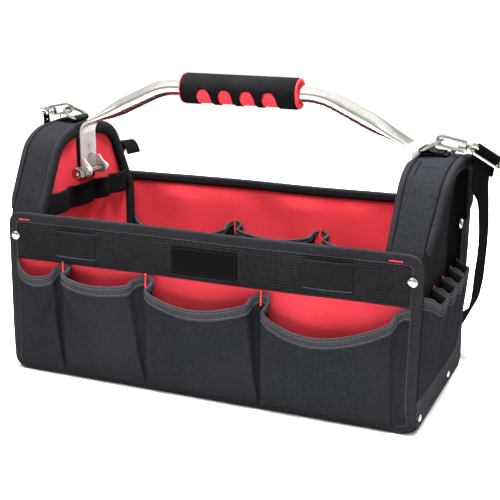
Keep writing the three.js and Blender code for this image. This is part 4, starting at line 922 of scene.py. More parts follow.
def pocket_controls(pockets, last_peak):
    """Columns of a row's cloth: along and out at the foot, their gains at the mouth, the mouth's height."""
    rows = []
    next_peaks = [p["peak"] for p in pockets[1:]] + [last_peak]
    for p, next_peak in zip(pockets, next_peaks):
        a, b, bulge, lean, peak = (p[key] for key in ("from", "to", "bulge", "lean", "peak"))
        rows.append((a, 0.0, SEAM_OUT, 0.0, peak))
        for along, gain, out, share, down in STARTS[p["start"]]:
            top = mouth(p, (along + gain) / (b - a)) if down is None else peak + (p["left"] - peak) * down
            rows.append((a + along, gain, out, share * bulge, top))
        for share in FACE_SHARES:
            foot = a + FACE_MARGIN + (b - a - 2 * FACE_MARGIN) * share
            head = foot - lean * share
            swell = FACE_SWELL["sides"] + FACE_SWELL["middle"] * math.sin(math.pi * share)
            rows.append((foot, head - foot, FACE_OUT, swell * bulge, mouth(p, (head - a) / (b - a))))
        for along, gain, out, share, down, leaning in ENDINGS[p["end"]]:
            gain = gain - lean * leaning
            level = mouth(p, (b + along + gain - a) / (b - a))
            top = level if down is None else level + (next_peak - level) * down
            rows.append((b + along, gain, out, share * bulge, top))
    rows.append((pockets[-1]["to"], 0.0, SEAM_OUT, 0.0, last_peak))
    return rounded(rows, 3)


def dents(x, z, table):
    total = np.zeros_like(x)
    for d in table:
        across = (x - d["x"] - d["lean"] * (d["z"] - z)) / d["along"]
        total += d["depth"] * np.exp(-across**2 - ((z - d["z"]) / d["up"]) ** 2)
    return total


def pocket_row(row):
    """One row: cloth and tape over its mouths; gives the paths of the tape's stitches."""
    place, foot, scale = row["place"], row["foot"], row["tape"]
    columns = pocket_controls(row["pockets"], row["last_peak"])
    foot_along, gain_along, foot_out, gain_out, rim = columns.T
    reach = max(p["peak"] for p in row["pockets"]) - foot

    def at(z):
        rise = np.clip((z - foot) / reach, 0, 1.1)
        along = foot_along + rise * gain_along
        face = smoothstep(gain_out / gain_out.max(), 0.5, 0.7) * smoothstep(rise, 0.0, 0.3)
        return along, foot_out + rise**BULGE_POWER * gain_out + dents(along, z, row["dents"]) * face

    z = foot + (rim - foot) * np.linspace(0, 1, POCKET_HEIGHTS)[:, None]
    along, out = at(z)
    piece = cloth(row["name"], soft(place(along, out, z)), POCKET_THICK, BLACK_CLOTH, row["flip"])
    width = lengths(np.column_stack([along[-6], out[-6]]))[-1]
    lay(piece, "black_cloth", [row["node"]], (width, float(np.mean(rim)) - foot), "folded", [row["wall"]])
    normal = left_of(unit(np.column_stack([np.gradient(a) for a in at(rim - 5 * scale)])))

    def beside(z, stand):
        along, out = at(z)
        return soft(place(along + normal[:, 0] * stand, out + normal[:, 1] * stand, z))

    drop, stand = np.asarray(POCKET_TAPE_SECTION).T[:, :, None]
    rings = beside(rim - drop * scale, stand)
    tape = loft(row["name"] + "_tape", rings.transpose(1, 0, 2), POCKET_TAPE)
    size = (POCKET_TAPE_FLAT["section"] * scale + POCKET_TAPE_FLAT["hem"], lengths(rings[0])[-1])
    lay(tape, "binding_tape", [row["node"] + "_binding"], size, "folded", [row["name"]])
    facing = direction(place, normal[:, 0], normal[:, 1])
    return [(beside(rim - down * scale, stand), facing) for down, stand in POCKET_SEAMS]


def make_pockets():
    seams, bars = [], []
    for row in POCKET_TABLE:
        seams += pocket_row(row)
        shift, out, low, high = row["tack"]
        for p in row["pockets"][1:]:
            z = np.linspace(p["peak"] + low, p["peak"] + high, 8)
            bars.append((soft(row["place"](p["from"] + shift, out, z)), direction(row["place"], 0.0, 1.0)))
    stitches("pocket_stitches", seams, THREAD, "binding_tape", pitch=2.6, length=2.2, width=0.75)
    stitches("bar_tacks", bars, RED_THREAD, "red_cloth", pitch=0.75, length=2.0, width=0.85, across=True)
    level = []
    for x in CORNER_TACK["at"]:
        along = x + np.linspace(-CORNER_TACK["half"], CORNER_TACK["half"], 8)
        level.append((soft(on_front(along, CORNER_TACK["out"], CORNER_TACK["z"])), FORWARD))
    stitches("corner_tacks", level, RED_THREAD, "red_cloth", pitch=1.1, length=1.5, width=0.8, across=True)


# Elastic band with tool loops inside the left end
LOOP_BAND = {"bottom": 164.0, "top": 186.0, "thick": 1.4, "stand": 1.9, "bulge": 6.5}
LOOP_BAND_HEIGHTS = (0, 0.5, 1.6, 4, 8, 11, 14, 18, 20.4, 21.5, 22.0)
LOOP_EDGES = (-82.0, -39.0, 12.0, 45.0, 80.0)


def make_loop_band():
    face, low, high = END_THICK - HALF_LENGTH, LOOP_BAND["bottom"], LOOP_BAND["top"]
    share = np.linspace(0, 1, 22)[:-1]
    swell = LOOP_BAND["stand"] + LOOP_BAND["bulge"] * np.sin(math.pi * share) ** 0.75
    spans = [a + (b - a) * share for a, b in zip(LOOP_EDGES[:-1], LOOP_EDGES[1:])]
    y = np.concatenate([*spans, LOOP_EDGES[-1:]])
    out = np.append(np.tile(swell, len(spans)), LOOP_BAND["stand"])
    z = (np.array(LOOP_BAND_HEIGHTS) + low)[:, None]
    edge = smoothstep(np.minimum(z - low, high - z), -0.2, 1.6)
    grid = soft(in_space(face + out - 0.5 * (1 - edge), y, z))
    band = cloth("tool_loop_band", grid, LOOP_BAND["thick"], SMOOTH_WEBBING)
    size = (lengths(np.column_stack([y, out]))[-1], high - low)
    lay(band, "webbing", ["left_loop_band"], size, "stretched", ["end_lining_cloth_left"])
    upright = np.linspace(low + 1, high - 1, 8)
    bars = [(soft(in_space(face + 2.0, at, upright)), (1.0, 0.0, 0.0)) for at in LOOP_EDGES]
    stitches("loop_band_stitches", bars, DARK_THREAD, "webbing", pitch=1.4, length=1.2, width=0.8)


# Arched end walls
ARCH_STATIONS = 170
ARCH_SOFTEN = 3.2
END_FOOT_Z = 4.3
END_FOOT_CORNER = 6.0
END_AREA_SHARE = 0.86
# Padded roll along an edge of the arch: offset runs from the outer face into the bag, out is above the strip
ROLL = ((30.5, -1.6), (30.5, -0.2), (31.0, 1.0), (32.4, 1.7), (34.2, 1.5), (35.6, 0.4), (36.2, -1.6),
        (36.3, -5.0), (36.1, -8.5), (35.3, -11.2), (33.8, -12.4), (32.2, -12.6), (31.15, -11.8), (31.1, -6.0),
        (31.1, -2.4), (30.8, -1.9))
ROLL_FACE = 31.1
ROLL_WIDTH = 17.0
# Near the crown the roll is pressed flat by the handle's end and the ring's tab
ROLL_PRESSED = {"share": 0.28, "from": 17.0, "to": 32.0}
# Heights where a roll starts and between which it swells up, and the cloth that it lies on
ROLLS = named("word mirrored start low high cloth", (
    ("inner", False, 0.0, 164.0, 176.0, "end_lining_cloth_"),
    ("outer", True, 171.0, 167.0, 185.0, "end_face_"),
))
STRIP = {"near": 0.2, "far": 31.2, "pillow": 1.1, "dip": 1.7, "thick": 1.2}
# Stitched lines of the ring's tab on the front slope of the right arch: drop is below the crown
TAB_SEAM = {"drop": (2.6, 12.0), "along": 25.0, "across": (21.5, 8.5), "stand": 1.05, "count": 20}
BASE_BAND = {"foot": 3.2, "height": 34.0, "stand": 1.5, "rear_edge": 62.0, "rear_top": 165.0, "half": 96.5}
BASE_BAND_THICK = 1.1
BASE_BAND_SEAMS = (2.2, 5.0)


def wall_x(end, offset, z):
    rise = np.maximum(0, (z - SPLAY_START) / (end["top"] - SPLAY_START))
    splay = end["outer_splay"] + (end["inner_splay"] - end["outer_splay"]) * offset / END_THICK
    return end["sign"] * (HALF_LENGTH - offset + splay * rise)


def arch_line(end):
    """Arch from the front foot over the crown to the back foot, and the outward direction at each place."""
    crown = bezier([(y, end["top"] - drop) for y, drop in SHOULDER], 60)
    half = np.concatenate([[(ARCH_HALF, END_FOOT_Z), (ARCH_HALF, SIDE_TOP)], crown])
    fine = resample(np.concatenate([half * (-1, 1), half[::-1][1:]]), 900)
    step = lengths(fine)[1]
    reach = int(3 * ARCH_SOFTEN / step)
    weight = np.exp(-0.5 * (np.arange(-reach, reach + 1) * step / ARCH_SOFTEN) ** 2)
    weight /= weight.sum()
    longer = np.concatenate([2 * fine[0] - fine[reach:0:-1], fine, 2 * fine[-1] - fine[-2:-reach - 2:-1]])
    fine = np.stack([np.convolve(longer[:, k], weight, "valid") for k in range(2)], axis=1)
    line = resample(fine, ARCH_STATIONS)
    return line, left_of(unit(np.gradient(line, axis=0)))


def arch_place(end, line, normal, offset, out):
    y, z = (line[..., k] + out * normal[..., k] for k in range(2))
    return soft(in_space(wall_x(end, offset, z), y, z))


def end_panel(end, offset, inset, bow):
    """Grid over an end wall's face, from its foot to its crown."""
    half = arch_line(end)[0][ARCH_STATIONS // 2:][::-1]
    share = np.linspace(-1, 1, 60)
    z = half[:, 1:] - inset * smoothstep(half[:, 1:], SIDE_TOP, end["top"])
    y = (np.maximum(half[:, :1] - inset, 0.4) - round_inset(z, END_FOOT_Z, END_FOOT_CORNER)) * share
    fade = (1 - np.abs(share) ** 4) * smoothstep(z, 10, 60) * smoothstep(end["top"] - z, 4, 40)
    wave = np.sin(y / 17 + z / 60) + 0.7 * np.sin(y / 9 - z / 35 + 1.1)
    return soft(in_space(wall_x(end, offset, z) + bow * (1 + 0.4 * wave) * fade, y, z))


def roll(end, row):
    """Rings of a padded roll along an edge of an arch, thinner between the walls, and its line."""
    line, normal = arch_line(end)
    keep = line[:, 1] >= row["start"]
    line, normal = line[keep], normal[keep]
    offset, out = np.asarray(ROLL).T
    above = smoothstep(line[:, 1:], row["low"], row["high"])
    pressed = 1 - smoothstep(np.abs(line[:, :1]), ROLL_PRESSED["from"], ROLL_PRESSED["to"])
    stand = 1 - (1 - ROLL_PRESSED["share"]) * pressed
    if row["mirrored"]:
        stand = (1.0 if end["sign"] > 0 else stand) * (0.2 + 0.8 * above)
    beyond = offset - ROLL_FACE
    offset = ROLL_FACE + beyond * np.where(beyond < 0, above, stand)
    if row["mirrored"]:
        offset = END_THICK - offset
    return arch_place(end, line[:, None], normal[:, None], offset, out * np.where(out > 0, above, 1.0)), line


def tab_seams(end, line, normal):
    """One stitched line down the slope and one across it, each with its outward direction."""
    drop = end["top"] - line[:, 1]
    slope = np.flatnonzero((line[:, 0] < 0) & (drop > TAB_SEAM["drop"][0]) & (drop < TAB_SEAM["drop"][1]))
    middle = np.full(TAB_SEAM["count"], slope[len(slope) // 2])
    across = np.linspace(*TAB_SEAM["across"], TAB_SEAM["count"])
    rows = []
    for places, offset in ((slope, TAB_SEAM["along"]), (middle, across)):
        path = arch_place(end, line[places], normal[places], offset, TAB_SEAM["stand"])
        rows.append((path, np.column_stack([np.zeros(len(places)), normal[places]])))
    return rows


def base_band(side, end):
    """Band along the foot of an end wall and up its rear edge; gives the paths of its stitches."""
    foot, height, stand, rear, rear_top, half = BASE_BAND.values()
    sign = end["sign"]
    y = np.concatenate([np.linspace(-half, rear, 50), np.linspace(rear + 0.6, half, 14)])
    t = np.linspace(0, 1, 24)[:, None]
    top = np.where(y > rear + 0.3, rear_top, height)
    z = foot + (top - foot) * t
    width = 1 - round_inset(z, foot, END_FOOT_CORNER) / half
    rim = smoothstep(np.minimum(t, 1 - t) * (top - foot), 0, 1.2)
    grid = soft(in_space(sign * (HALF_LENGTH + stand - 0.5 * (1 - rim)), y * width, z))
    band = cloth("base_band_" + side, grid, BASE_BAND_THICK, POCKET_TAPE, sign > 0, uv=grid[..., [2, 1]])
    area = (2 * half * height + (half - rear) * (rear_top - height)) * MM * MM
    lay(band, "black_cloth", ["end_base_band_" + side], (2 * half, rear_top - foot), "stretched",
        ["end_face_" + side], area=area)
    x = sign * (HALF_LENGTH + stand + 0.1)
    level = np.linspace(-half + 2, rear - 2, 40)
    paths = [in_space(x, level, height - drop) for drop in BASE_BAND_SEAMS]
    paths.append(in_space(x, rear + 3.0, np.linspace(height + 2, rear_top - 2, 40)))
    return [(soft(path), (sign, 0.0, 0.0)) for path in paths]


def make_ends():
    middle = -np.cos(np.linspace(0, math.pi, 25))
    offset = STRIP["near"] + (STRIP["far"] - STRIP["near"]) * (1 + middle) / 2
    puff = STRIP["pillow"] * (1 - middle**4) - STRIP["dip"] * smoothstep(np.abs(middle), 0.86, 1.0)
    seams = []
    for side, end in ENDS.items():
        sign = end["sign"]
        line, normal = arch_line(end)
        size = (2 * ARCH_HALF, end["top"] - END_FOOT_Z)
        area = END_AREA_SHARE * size[0] * size[1] * MM * MM
        for name, node, depth, inset, bow, thick, material, slot, flip in (
            ("end_face_", "end_outer_", 0.0, 0.3, -0.5, 1.8, END_CLOTH_PAINTED_SHADE, "black_cloth", sign > 0),
            ("end_lining_cloth_", "end_lining_", END_THICK, 4.0, -0.9, 1.6, RED_CLOTH, "red_cloth", sign < 0),
        ):
            piece = cloth(name + side, end_panel(end, depth, inset, bow * sign), thick, material, flip)
            lay(piece, slot, [node + side], size, "stretched", ["base_board"], area=area)
        out = puff * smoothstep(line[:, 1:], 172, 185)
        grid = arch_place(end, line[:, None], normal[:, None], offset, out)
        strip = cloth("end_strip_" + side, grid, STRIP["thick"], BLACK_CLOTH, sign < 0)
        lay(strip, "black_cloth", ["end_gusset_" + side], (STRIP["far"] - STRIP["near"], lengths(line)[-1]),
            "stretched", ["end_face_" + side, "end_lining_cloth_" + side])
        for row in ROLLS:
            rings, part = roll(end, row)
            tape = loft(f"{row['word']}_roll_{side}", rings, BINDING)
            lay(tape, "binding_tape", [f"arch_binding_{row['word']}_{side}"], (ROLL_WIDTH, lengths(part)[-1]),
                "folded", [row["cloth"] + side])
        if side == "right":
            rows = tab_seams(end, line, normal)
            stitches("ring_tab_stitches", rows, BLACK_THREAD, "binding_tape", 1.9, 1.8, 0.95)
        seams += base_band(side, end)
    stitches("base_band_stitches", seams, THREAD, "binding_tape")


# Handle: bent steel tube with flattened, turned-down ends, and its foam grip
TUBE_RADIUS = 8.5
PLATE_WIDTH = 29.0
PLATE_THICK = 3.6
HANDLE_HEIGHT = 292.5
BEND_X = 85.5
BEND_REACH = 15.5
SLOPE = math.radians(25)
KNEE_REACH = 10.0
PLATE_BOTTOM = 196.0
FLATTEN_FROM = 134.0
FLATTEN_END = 178.4
PLATE_SQUARENESS = 0.4
PLATE_HOLE = {"z": 214.0, "radius": 2.0, "reach": 8.0}
PLATE_DIMPLE = {"z": 224.5, "radius": 2.4, "height": 0.7}
TUBE_SIDES = 48
GRIP_HALF = 62.0
GRIP_CORE_RADIUS = 13.2
GRIP_RADIUS = 15.6
FINGER = {"pitch": 23.6, "half": 8.9, "first": -36.4, "reach": math.radians(94), "square": 2.7, "swell": 1.2}
FINGERS = [FINGER["first"] + i * FINGER["pitch"] for i in range(4)]
GRIP_TURN = 96
SKIN_THICK = 1.5
SKIN_SEAM = 0.002
SKIN_EDGE = {"drop": 0.8, "side": 1.6, "end": 1.5}
# End of the core: distance beyond the skin's end and radius
CORE_END = ((1.3, 8.65), (1.3, 14.2), (1.0, 14.8), (0.5, 15.0), (0.1, 14.8), (0.1, 13.2))


def handle_half(plate_x):
    """Route of half the handle from the middle to the foot of its flattened end, as x and z."""
    straight = np.array([-math.cos(SLOPE), math.sin(SLOPE)])
    bend = np.array([BEND_X, HANDLE_HEIGHT])
    knee = np.array([plate_x, HANDLE_HEIGHT - (plate_x - BEND_X) * math.tan(SLOPE)])
    upper = bezier([(BEND_X - BEND_REACH, HANDLE_HEIGHT), bend, bend - straight * BEND_REACH], 16)
    lower = bezier([knee + straight * KNEE_REACH, knee, knee - (0, KNEE_REACH)], 16)
    slope = upper[-1] + (lower[0] - upper[-1]) * np.linspace(0, 1, 34)[1:-1, None]
    plate = lower[-1] + ((plate_x, PLATE_BOTTOM) - lower[-1]) * np.linspace(0, 1, 20)[1:, None]
    return np.concatenate([[(0.0, HANDLE_HEIGHT), (40.0, HANDLE_HEIGHT)], upper, slope, lower, plate])


def make_handle():
    left = handle_half(ENDS["left"]["plate_x"]) * (-1, 1)
    route = np.concatenate([left[::-1], handle_half(ENDS["right"]["plate_x"])[1:]])
    run = unit(np.gradient(route, axis=0))
    flat = smoothstep(np.abs(route[:, :1]), FLATTEN_FROM, FLATTEN_END)
    power = 1 + (PLATE_SQUARENESS - 1) * flat
    first = math.pi / TUBE_SIDES
    turn = arc(1.0, first, 2 * math.pi - first, TUBE_SIDES)
    across = (TUBE_RADIUS + (PLATE_WIDTH / 2 - TUBE_RADIUS) * flat) * signed_power(turn[:, 0], power)
    thick = (TUBE_RADIUS + (PLATE_THICK / 2 - TUBE_RADIUS) * flat) * signed_power(turn[:, 1], power)
    rings = in_space(route[:, :1] - run[:, 1:] * thick, across, route[:, 1:] + run[:, :1] * thick)
    handle = loft("handle_tube", rings, HANDLE_STEEL)
    dots = []
    r, h = PLATE_DIMPLE["radius"], PLATE_DIMPLE["height"]
    profile = [(0.05, -0.3), (r, -0.3), (r, 0.2 * h), (0.7 * r, 0.85 * h), (0.05, h)]
    for end in ENDS.values():
        x = end["sign"] * end["plate_x"]
        a, b = ((x + way * PLATE_HOLE["reach"], 0, PLATE_HOLE["z"]) for way in (-1, 1))
        cut_away(handle, rod("hole_cutter", PLATE_HOLE["radius"], a, b, HANDLE_STEEL, 0.4))
        face = end["sign"] * (end["plate_x"] - PLATE_THICK / 2 + 0.1)
        centre = (face, 0, PLATE_DIMPLE["z"])
        dots.append(turned("dot", profile, (-end["sign"], 0, 0), centre, HANDLE_STEEL, 32))
    settle(handle, "nickel_steel", "handle")
    settle(merge("plate_dimples", dots), "nickel_steel")


def grip_opening(x):
    """Half the angle, from straight down, by which a finger recess opens the grip's skin at each place."""
    opening = np.zeros_like(x)
    for centre in FINGERS:
        share = np.abs(x - centre) / FINGER["half"]
        opening += FINGER["reach"] * np.maximum(1 - share ** FINGER["square"], 0) ** (1 / FINGER["square"])
    return opening


def grip_stations():
    """Places along the grip, close together at the sides of the finger recesses."""
    recess = FINGER["half"] * np.sin(np.linspace(-math.pi / 2, math.pi / 2, 31))
    places = [np.linspace(-GRIP_HALF, GRIP_HALF, 63), *(centre + recess for centre in FINGERS)]
    return np.unique(np.concatenate(places).round(3))


def make_grip():
    """Red foam core and black foam skin, open at four finger recesses where the core swells through."""
    x = grip_stations()
    opening = grip_opening(x)[:, None]
    turn = np.linspace(-math.pi, math.pi, GRIP_TURN + 1)[:-1]
    radius = GRIP_CORE_RADIUS + FINGER["swell"] * smoothstep(GRIP_RADIUS * (opening - np.abs(turn)), 0.6, 3.4)
    beyond, size = np.asarray(CORE_END).T
    at = np.concatenate([-GRIP_HALF - beyond, x[1:-1], GRIP_HALF + beyond[::-1]])
    cap = np.tile(size[:, None], GRIP_TURN)
    radius = np.concatenate([cap, radius[1:-1], cap[::-1]])
    rings = in_space(at[:, None], radius * np.sin(turn), HANDLE_HEIGHT - radius * np.cos(turn))
    core = loft("grip_inside", rings, RED_FOAM, loop=True)
    settle(core, "red_foam", "grip_core")
    share = np.linspace(-1, 1, GRIP_TURN + 1)
    angle = math.pi + (math.pi - SKIN_SEAM - opening) * share
    edge = GRIP_RADIUS * (math.pi - opening) * (1 - np.abs(share))
    rounding = (1 - smoothstep(edge, 0.0, SKIN_EDGE["side"])) * smoothstep(opening, 0.05, 0.3)
    ends = 1 - smoothstep(GRIP_HALF - np.abs(x), 0.0, SKIN_EDGE["end"])
    outer = GRIP_RADIUS - SKIN_EDGE["drop"] * np.maximum(rounding, ends[:, None])
    grid = in_space(x[:, None], outer * np.sin(angle), HANDLE_HEIGHT - outer * np.cos(angle))
    skin = cloth("grip_cover", grid, SKIN_THICK, BLACK_FOAM, flip=True)
    settle(skin, "black_foam", "grip_skin")


# Hinge bracket and bolt at the foot of each flattened end
HINGE = {"z": 200.0, "stand": 6.2, "knuckle": 4.4}
# Ear outline: distance from the flattened end's face, height
EAR = ((-0.4, 193.0), (6.5, 193.0), (10.6, 196.0), (11.4, 200.5), (9.6, 205.0), (5.0, 209.0), (3.4, 213.0),
       (-0.4, 213.0))
EAR_HALF = 1.1
EARS = (-14.6, 15.6)
KNUCKLES = ((-20.4, -15.9), (16.9, 21.6))
# A round shank and two six-sided nuts along the pin
BOLT = named("name radius from to sides", (
    ("shank", 3.0, -39.0, 23.4, 32),
    ("nut", 6.6, -28.0, -21.0, 6),
    ("nut", 7.2, -38.0, -31.0, 6),
))
ANCHOR = {"half": 17.0, "bottom": 189.0, "drop": 13.0, "thick": 1.1, "stand": 1.5}


def make_hinges():
    for side, end in ENDS.items():
        inwards = -end["sign"]
        face = end["sign"] * (end["plate_x"] - PLATE_THICK / 2 - 0.3)

        def on_pin(y):
            return np.array([face + inwards * HINGE["stand"], inwards * y, HINGE["z"]])

        pieces = []
        for y in EARS:
            def stand(p, middle=inwards * y):
                return np.array([face + inwards * p[0], middle + p[2], p[1]])
            pieces.append(cut_plate("ear", EAR, EAR_HALF, 0.4, stand, PLATE))
        pieces += [rod("knuckle", HINGE["knuckle"], on_pin(a), on_pin(b), PLATE, 0.7) for a, b in KNUCKLES]
        settle(merge("hinge_plate_" + side, pieces), "nickel_steel", "handle_bracket_" + side)
        bolt = []
        for row in BOLT:
            a, b = on_pin(row["from"]), on_pin(row["to"])
            bolt.append(rod(row["name"], row["radius"], a, b, NICKEL, 0.9, row["sides"]))
        for nut in bolt[1:]:
            nut.data.set_sharp_from_angle(angle=math.radians(30))
        settle(merge("hinge_pin_" + side, bolt), "nickel_steel", "hinge_bolt_" + side)
        z = np.linspace(ANCHOR["bottom"], end["top"] - ANCHOR["drop"], 24)[:, None]
        y = np.linspace(-ANCHOR["half"], ANCHOR["half"], 18)
        rim = smoothstep(ANCHOR["half"] - np.abs(y), 0, 1.2)
        grid = soft(in_space(wall_x(end, END_THICK + ANCHOR["stand"] - 0.5 * (1 - rim), z), y, z))
        patch = cloth("anchor_cloth_" + side, grid, ANCHOR["thick"], SMOOTH_WEBBING, end["sign"] < 0)
        size = (2 * ANCHOR["half"], float(np.ptp(z)))
        lay(patch, "webbing", ["anchor_webbing_" + side], size, "stretched", ["end_lining_cloth_" + side])


# D-rings on top of the arches and their tabs
RING = {"wire": 1.8, "half": 15.0, "depth": 18.5, "corner": 4.0, "tilt": math.radians(30), "bar_x": 188.0,
        "lift": 5.1}
RING_ROUND = {"side": 0.75, "top": 0.62}
TAB = {"half": 11.0, "thick": 1.2, "under": 24.0, "turn": 3.0, "slope": 5.0, "meet": 10.0, "over": 20.0}
TAB_LINES = (12.0, 17.5)


def ring_frame(end):
    bar = np.array([end["sign"] * RING["bar_x"], 0.0, end["top"] + RING["lift"]])
    reach = np.array([end["sign"] * math.cos(RING["tilt"]), 0.0, math.sin(RING["tilt"])])
    return bar, reach


def ring_outline():
    half, corner, depth = RING["half"], RING["corner"], RING["depth"]
    side, top = depth * RING_ROUND["side"], half * RING_ROUND["top"]
    right = np.array([half - corner, corner]) + arc(corner, -math.pi / 2, 0, 8)
    crown = bezier([(half, corner), (half, side), (top, depth), (0, depth)], 20)[1:]
    half_line = np.concatenate([right, crown])
    return closed_resample(np.concatenate([half_line, (half_line * (-1, 1))[::-1][1:]]), 72)


def make_rings():
    seams = []
    flat = ring_outline()
    half, thick = TAB["half"], TAB["thick"]
    turn = RING["wire"] + 0.2 + thick / 2
    high = thick + 0.2 - turn
    rows = [(TAB["under"], -turn), (TAB["under"] / 2, -turn), (TAB["turn"], -turn),
            *arc(turn, -math.pi / 2, -1.5 * math.pi, 12), (TAB["slope"], 0.75 * turn),
            (TAB["meet"], high + 0.3), (TAB["over"] - 4, high), (TAB["over"], high)]
    line = resample(rounded(rows, 2), 60)
    across = np.tile((0.0, 1.0, 0.0), (len(line), 1))
    corners = ((-half, -thick / 2), (half, -thick / 2), (half, thick / 2), (-half, thick / 2))
    section = corner_cut(corners, 2, 0.04)
    for side, end in ENDS.items():
        bar, reach = ring_frame(end)
        route = bar + flat[:, :1] * np.array([0, 1, 0]) + flat[:, 1:] * reach
        settle(wire_ring("d_ring_" + side, route, RING["wire"], 16), "nickel_steel", "dring_" + side)
        centres = in_space(bar[0] + end["sign"] * line[:, 0], 0.0, bar[2] + line[:, 1])
        up = np.cross(unit(np.gradient(centres, axis=0)), across)
        tab = sweep("ring_tab_" + side, centres, across, up, section, BLACK_CLOTH)
        size = (2 * half, lengths(line)[-1])
        lay(tab, "webbing", ["dring_tab_" + side], size, "folded", ["end_strip_" + side])
        for along in TAB_LINES:
            path = in_space(bar[0] + end["sign"] * along, np.linspace(-9, 9, 12), bar[2] + high + 0.75)
            seams.append((path, (0.0, 0.0, 1.0)))
    stitches("tab_stitches", seams, THREAD, "binding_tape", pitch=2.2, length=1.7)


# Snap hooks, in a flat frame: u points along the hook to its nose, v to its back
HOOK_DROOP = math.radians(11)
HOOK = {"outer": 5.6, "inner": 3.0, "half": 2.6, "from": -23.5, "to": -16.5, "nose": -2.2, "slot": 1.5,
        "slot_top": -1.2, "chamfer": 1.5, "cheek_chamfer": 2.0, "clear": 0.3}
GATE = {"pivot": -20.5, "height": -4.6, "tail": -23.0, "half": 1.3, "width": 1.2, "pin": 1.0, "play": 0.15,
        "cut": 4.0}
THUMB = {"from": -15.5, "low": -15.0, "high": -12.0, "to": -10.5, "drop": 2.6}
SWIVEL = {"radius": 3.2, "end": -27.0, "eye": 4.2, "wire": 1.4, "pull": 0.7}
STRAP_LOOP = {"x": 244.85, "y": 14.1, "drop": 5.05, "from": -23.0, "to": 18.4, "depth": 9.0, "wire": 1.6,
              "corner": 2.0}
LOOP_ALONG = (0.475, 0.75, -0.46)
LOOP_UPRIGHT = (-0.22, 0.14, 0.86)


def hook_place(end):
    bar, reach = ring_frame(end)
    u = np.array([-end["sign"] * math.cos(HOOK_DROOP), 0, math.sin(HOOK_DROOP)])
    v = np.array([end["sign"] * math.sin(HOOK_DROOP), 0, math.cos(HOOK_DROOP)])
    w = np.cross(u, v)
    return lambda p: bar + reach * RING["depth"] + p[0] * u + p[1] * v + p[2] * w


def loop_frame(end):
    mirror = (end["sign"], 1, 1)
    along = unit(np.multiply(LOOP_ALONG, mirror))
    rise = square_to(np.multiply(LOOP_UPRIGHT, mirror), along)
    front = np.cross(along, rise) * end["sign"]
    centre = np.array([end["sign"] * STRAP_LOOP["x"], STRAP_LOOP["y"], end["top"] - STRAP_LOOP["drop"]])
    return along, rise, front, centre


def hook_shapes():
    """Outlines of a hook, of its cheeks beside the gate and of the gate."""
    outer, inner, nose = HOOK["outer"], HOOK["inner"], HOOK["nose"]
    low, high, slot = HOOK["from"], HOOK["to"], HOOK["slot_top"]
    quarter = math.pi / 2
    a, b = HOOK["chamfer"], HOOK["cheek_chamfer"]
    hook = [(low + a, outer), *arc(outer, quarter, -quarter, 20), (nose, -outer), (nose, -inner),
            *arc(inner, -quarter, quarter, 16), (high, inner), (high, slot), (low, slot), (low, outer - a)]
    cheek = [(low, slot + 1), (low, b - outer), (low + b, -outer), (high - b, -outer), (high, b - outer),
             (high, slot + 1)]
    top, bottom = GATE["height"] + GATE["half"], GATE["height"] - GATE["half"]
    thumb, near = bottom - THUMB["drop"], nose - HOOK["clear"]
    gate = [(GATE["tail"], bottom), (THUMB["from"], bottom), (THUMB["low"], thumb), (THUMB["high"], thumb),
            (THUMB["to"], bottom), (near, bottom), (near, top), (GATE["tail"], top)]
    return hook, cheek, gate


def strap_loop_line():
    corner = STRAP_LOOP["corner"]
    x0, x1 = STRAP_LOOP["from"] + corner, STRAP_LOOP["to"] - corner
    y0, y1 = corner, STRAP_LOOP["depth"] - corner
    corners = ((x1, y0, corner, -90), (x1, y1, corner, 0), (x0, y1, corner, 90), (x0, y0, corner, 180))
    return closed_resample(corner_arcs(corners, 8), 96)


def make_hooks():
    outline, cheek, gate_outline = hook_shapes()
    cheek_half = (HOOK["half"] - HOOK["slot"]) / 2
    flat = strap_loop_line()
    circle = arc(SWIVEL["eye"], 0, 2 * math.pi * (1 - 1 / 40), 40)
    for side, end in ENDS.items():
        place = hook_place(end)
        pieces = [cut_plate("hook", outline, HOOK["half"], 0.8, place, NICKEL)]
        for way in (-1, 1):
            def beside(p, shift=way * (HOOK["slot"] + cheek_half)):
                return place(p + (0, 0, shift))
            pieces.append(cut_plate("cheek", cheek, cheek_half, 0.25, beside, NICKEL))
        pin, cutter = (
            [place((GATE["pivot"], GATE["height"], way * reach)) for way in (-1, 1)]
            for reach in (HOOK["half"] + HOOK["clear"], GATE["cut"])
        )
        pieces.append(rod("pin", GATE["pin"], *pin, NICKEL, 0.25, 20))
        settle(merge("snap_hook_" + side, pieces), "nickel_steel", "hook_body_" + side)
        gate = cut_plate("snap_gate_" + side, gate_outline, GATE["width"], 0.3, place, NICKEL)
        cut_away(gate, rod("gate_cutter", GATE["pin"] + GATE["play"], *cutter, NICKEL, 0.1, 20))
        gate.data.set_sharp_from_angle(angle=SHARP)
        settle(gate, "nickel_steel", "hook_gate_" + side, body="gate_" + side)
        along, rise, front, centre = loop_frame(end)
        eye = centre + along * (STRAP_LOOP["from"] - SWIVEL["pull"]) + rise * STRAP_LOOP["depth"] / 2
        ring = eye + circle[:, :1] * along + circle[:, 1:] * front
        barrel = [place((u, 0.0, 0.0)) for u in (SWIVEL["end"], HOOK["from"] - HOOK["clear"])]
        parts = [wire_ring("eye", ring, SWIVEL["wire"], 14)]
        parts.append(rod("barrel", SWIVEL["radius"], *barrel, NICKEL, 0.7))
        settle(merge("swivel_" + side, parts), "nickel_steel", "hook_swivel_" + side)
        route = centre + flat[:, :1] * along + flat[:, 1:] * rise
        loop = wire_ring("strap_ring_" + side, route, STRAP_LOOP["wire"], 14)
        settle(loop, "nickel_steel", "strap_loop_" + side)


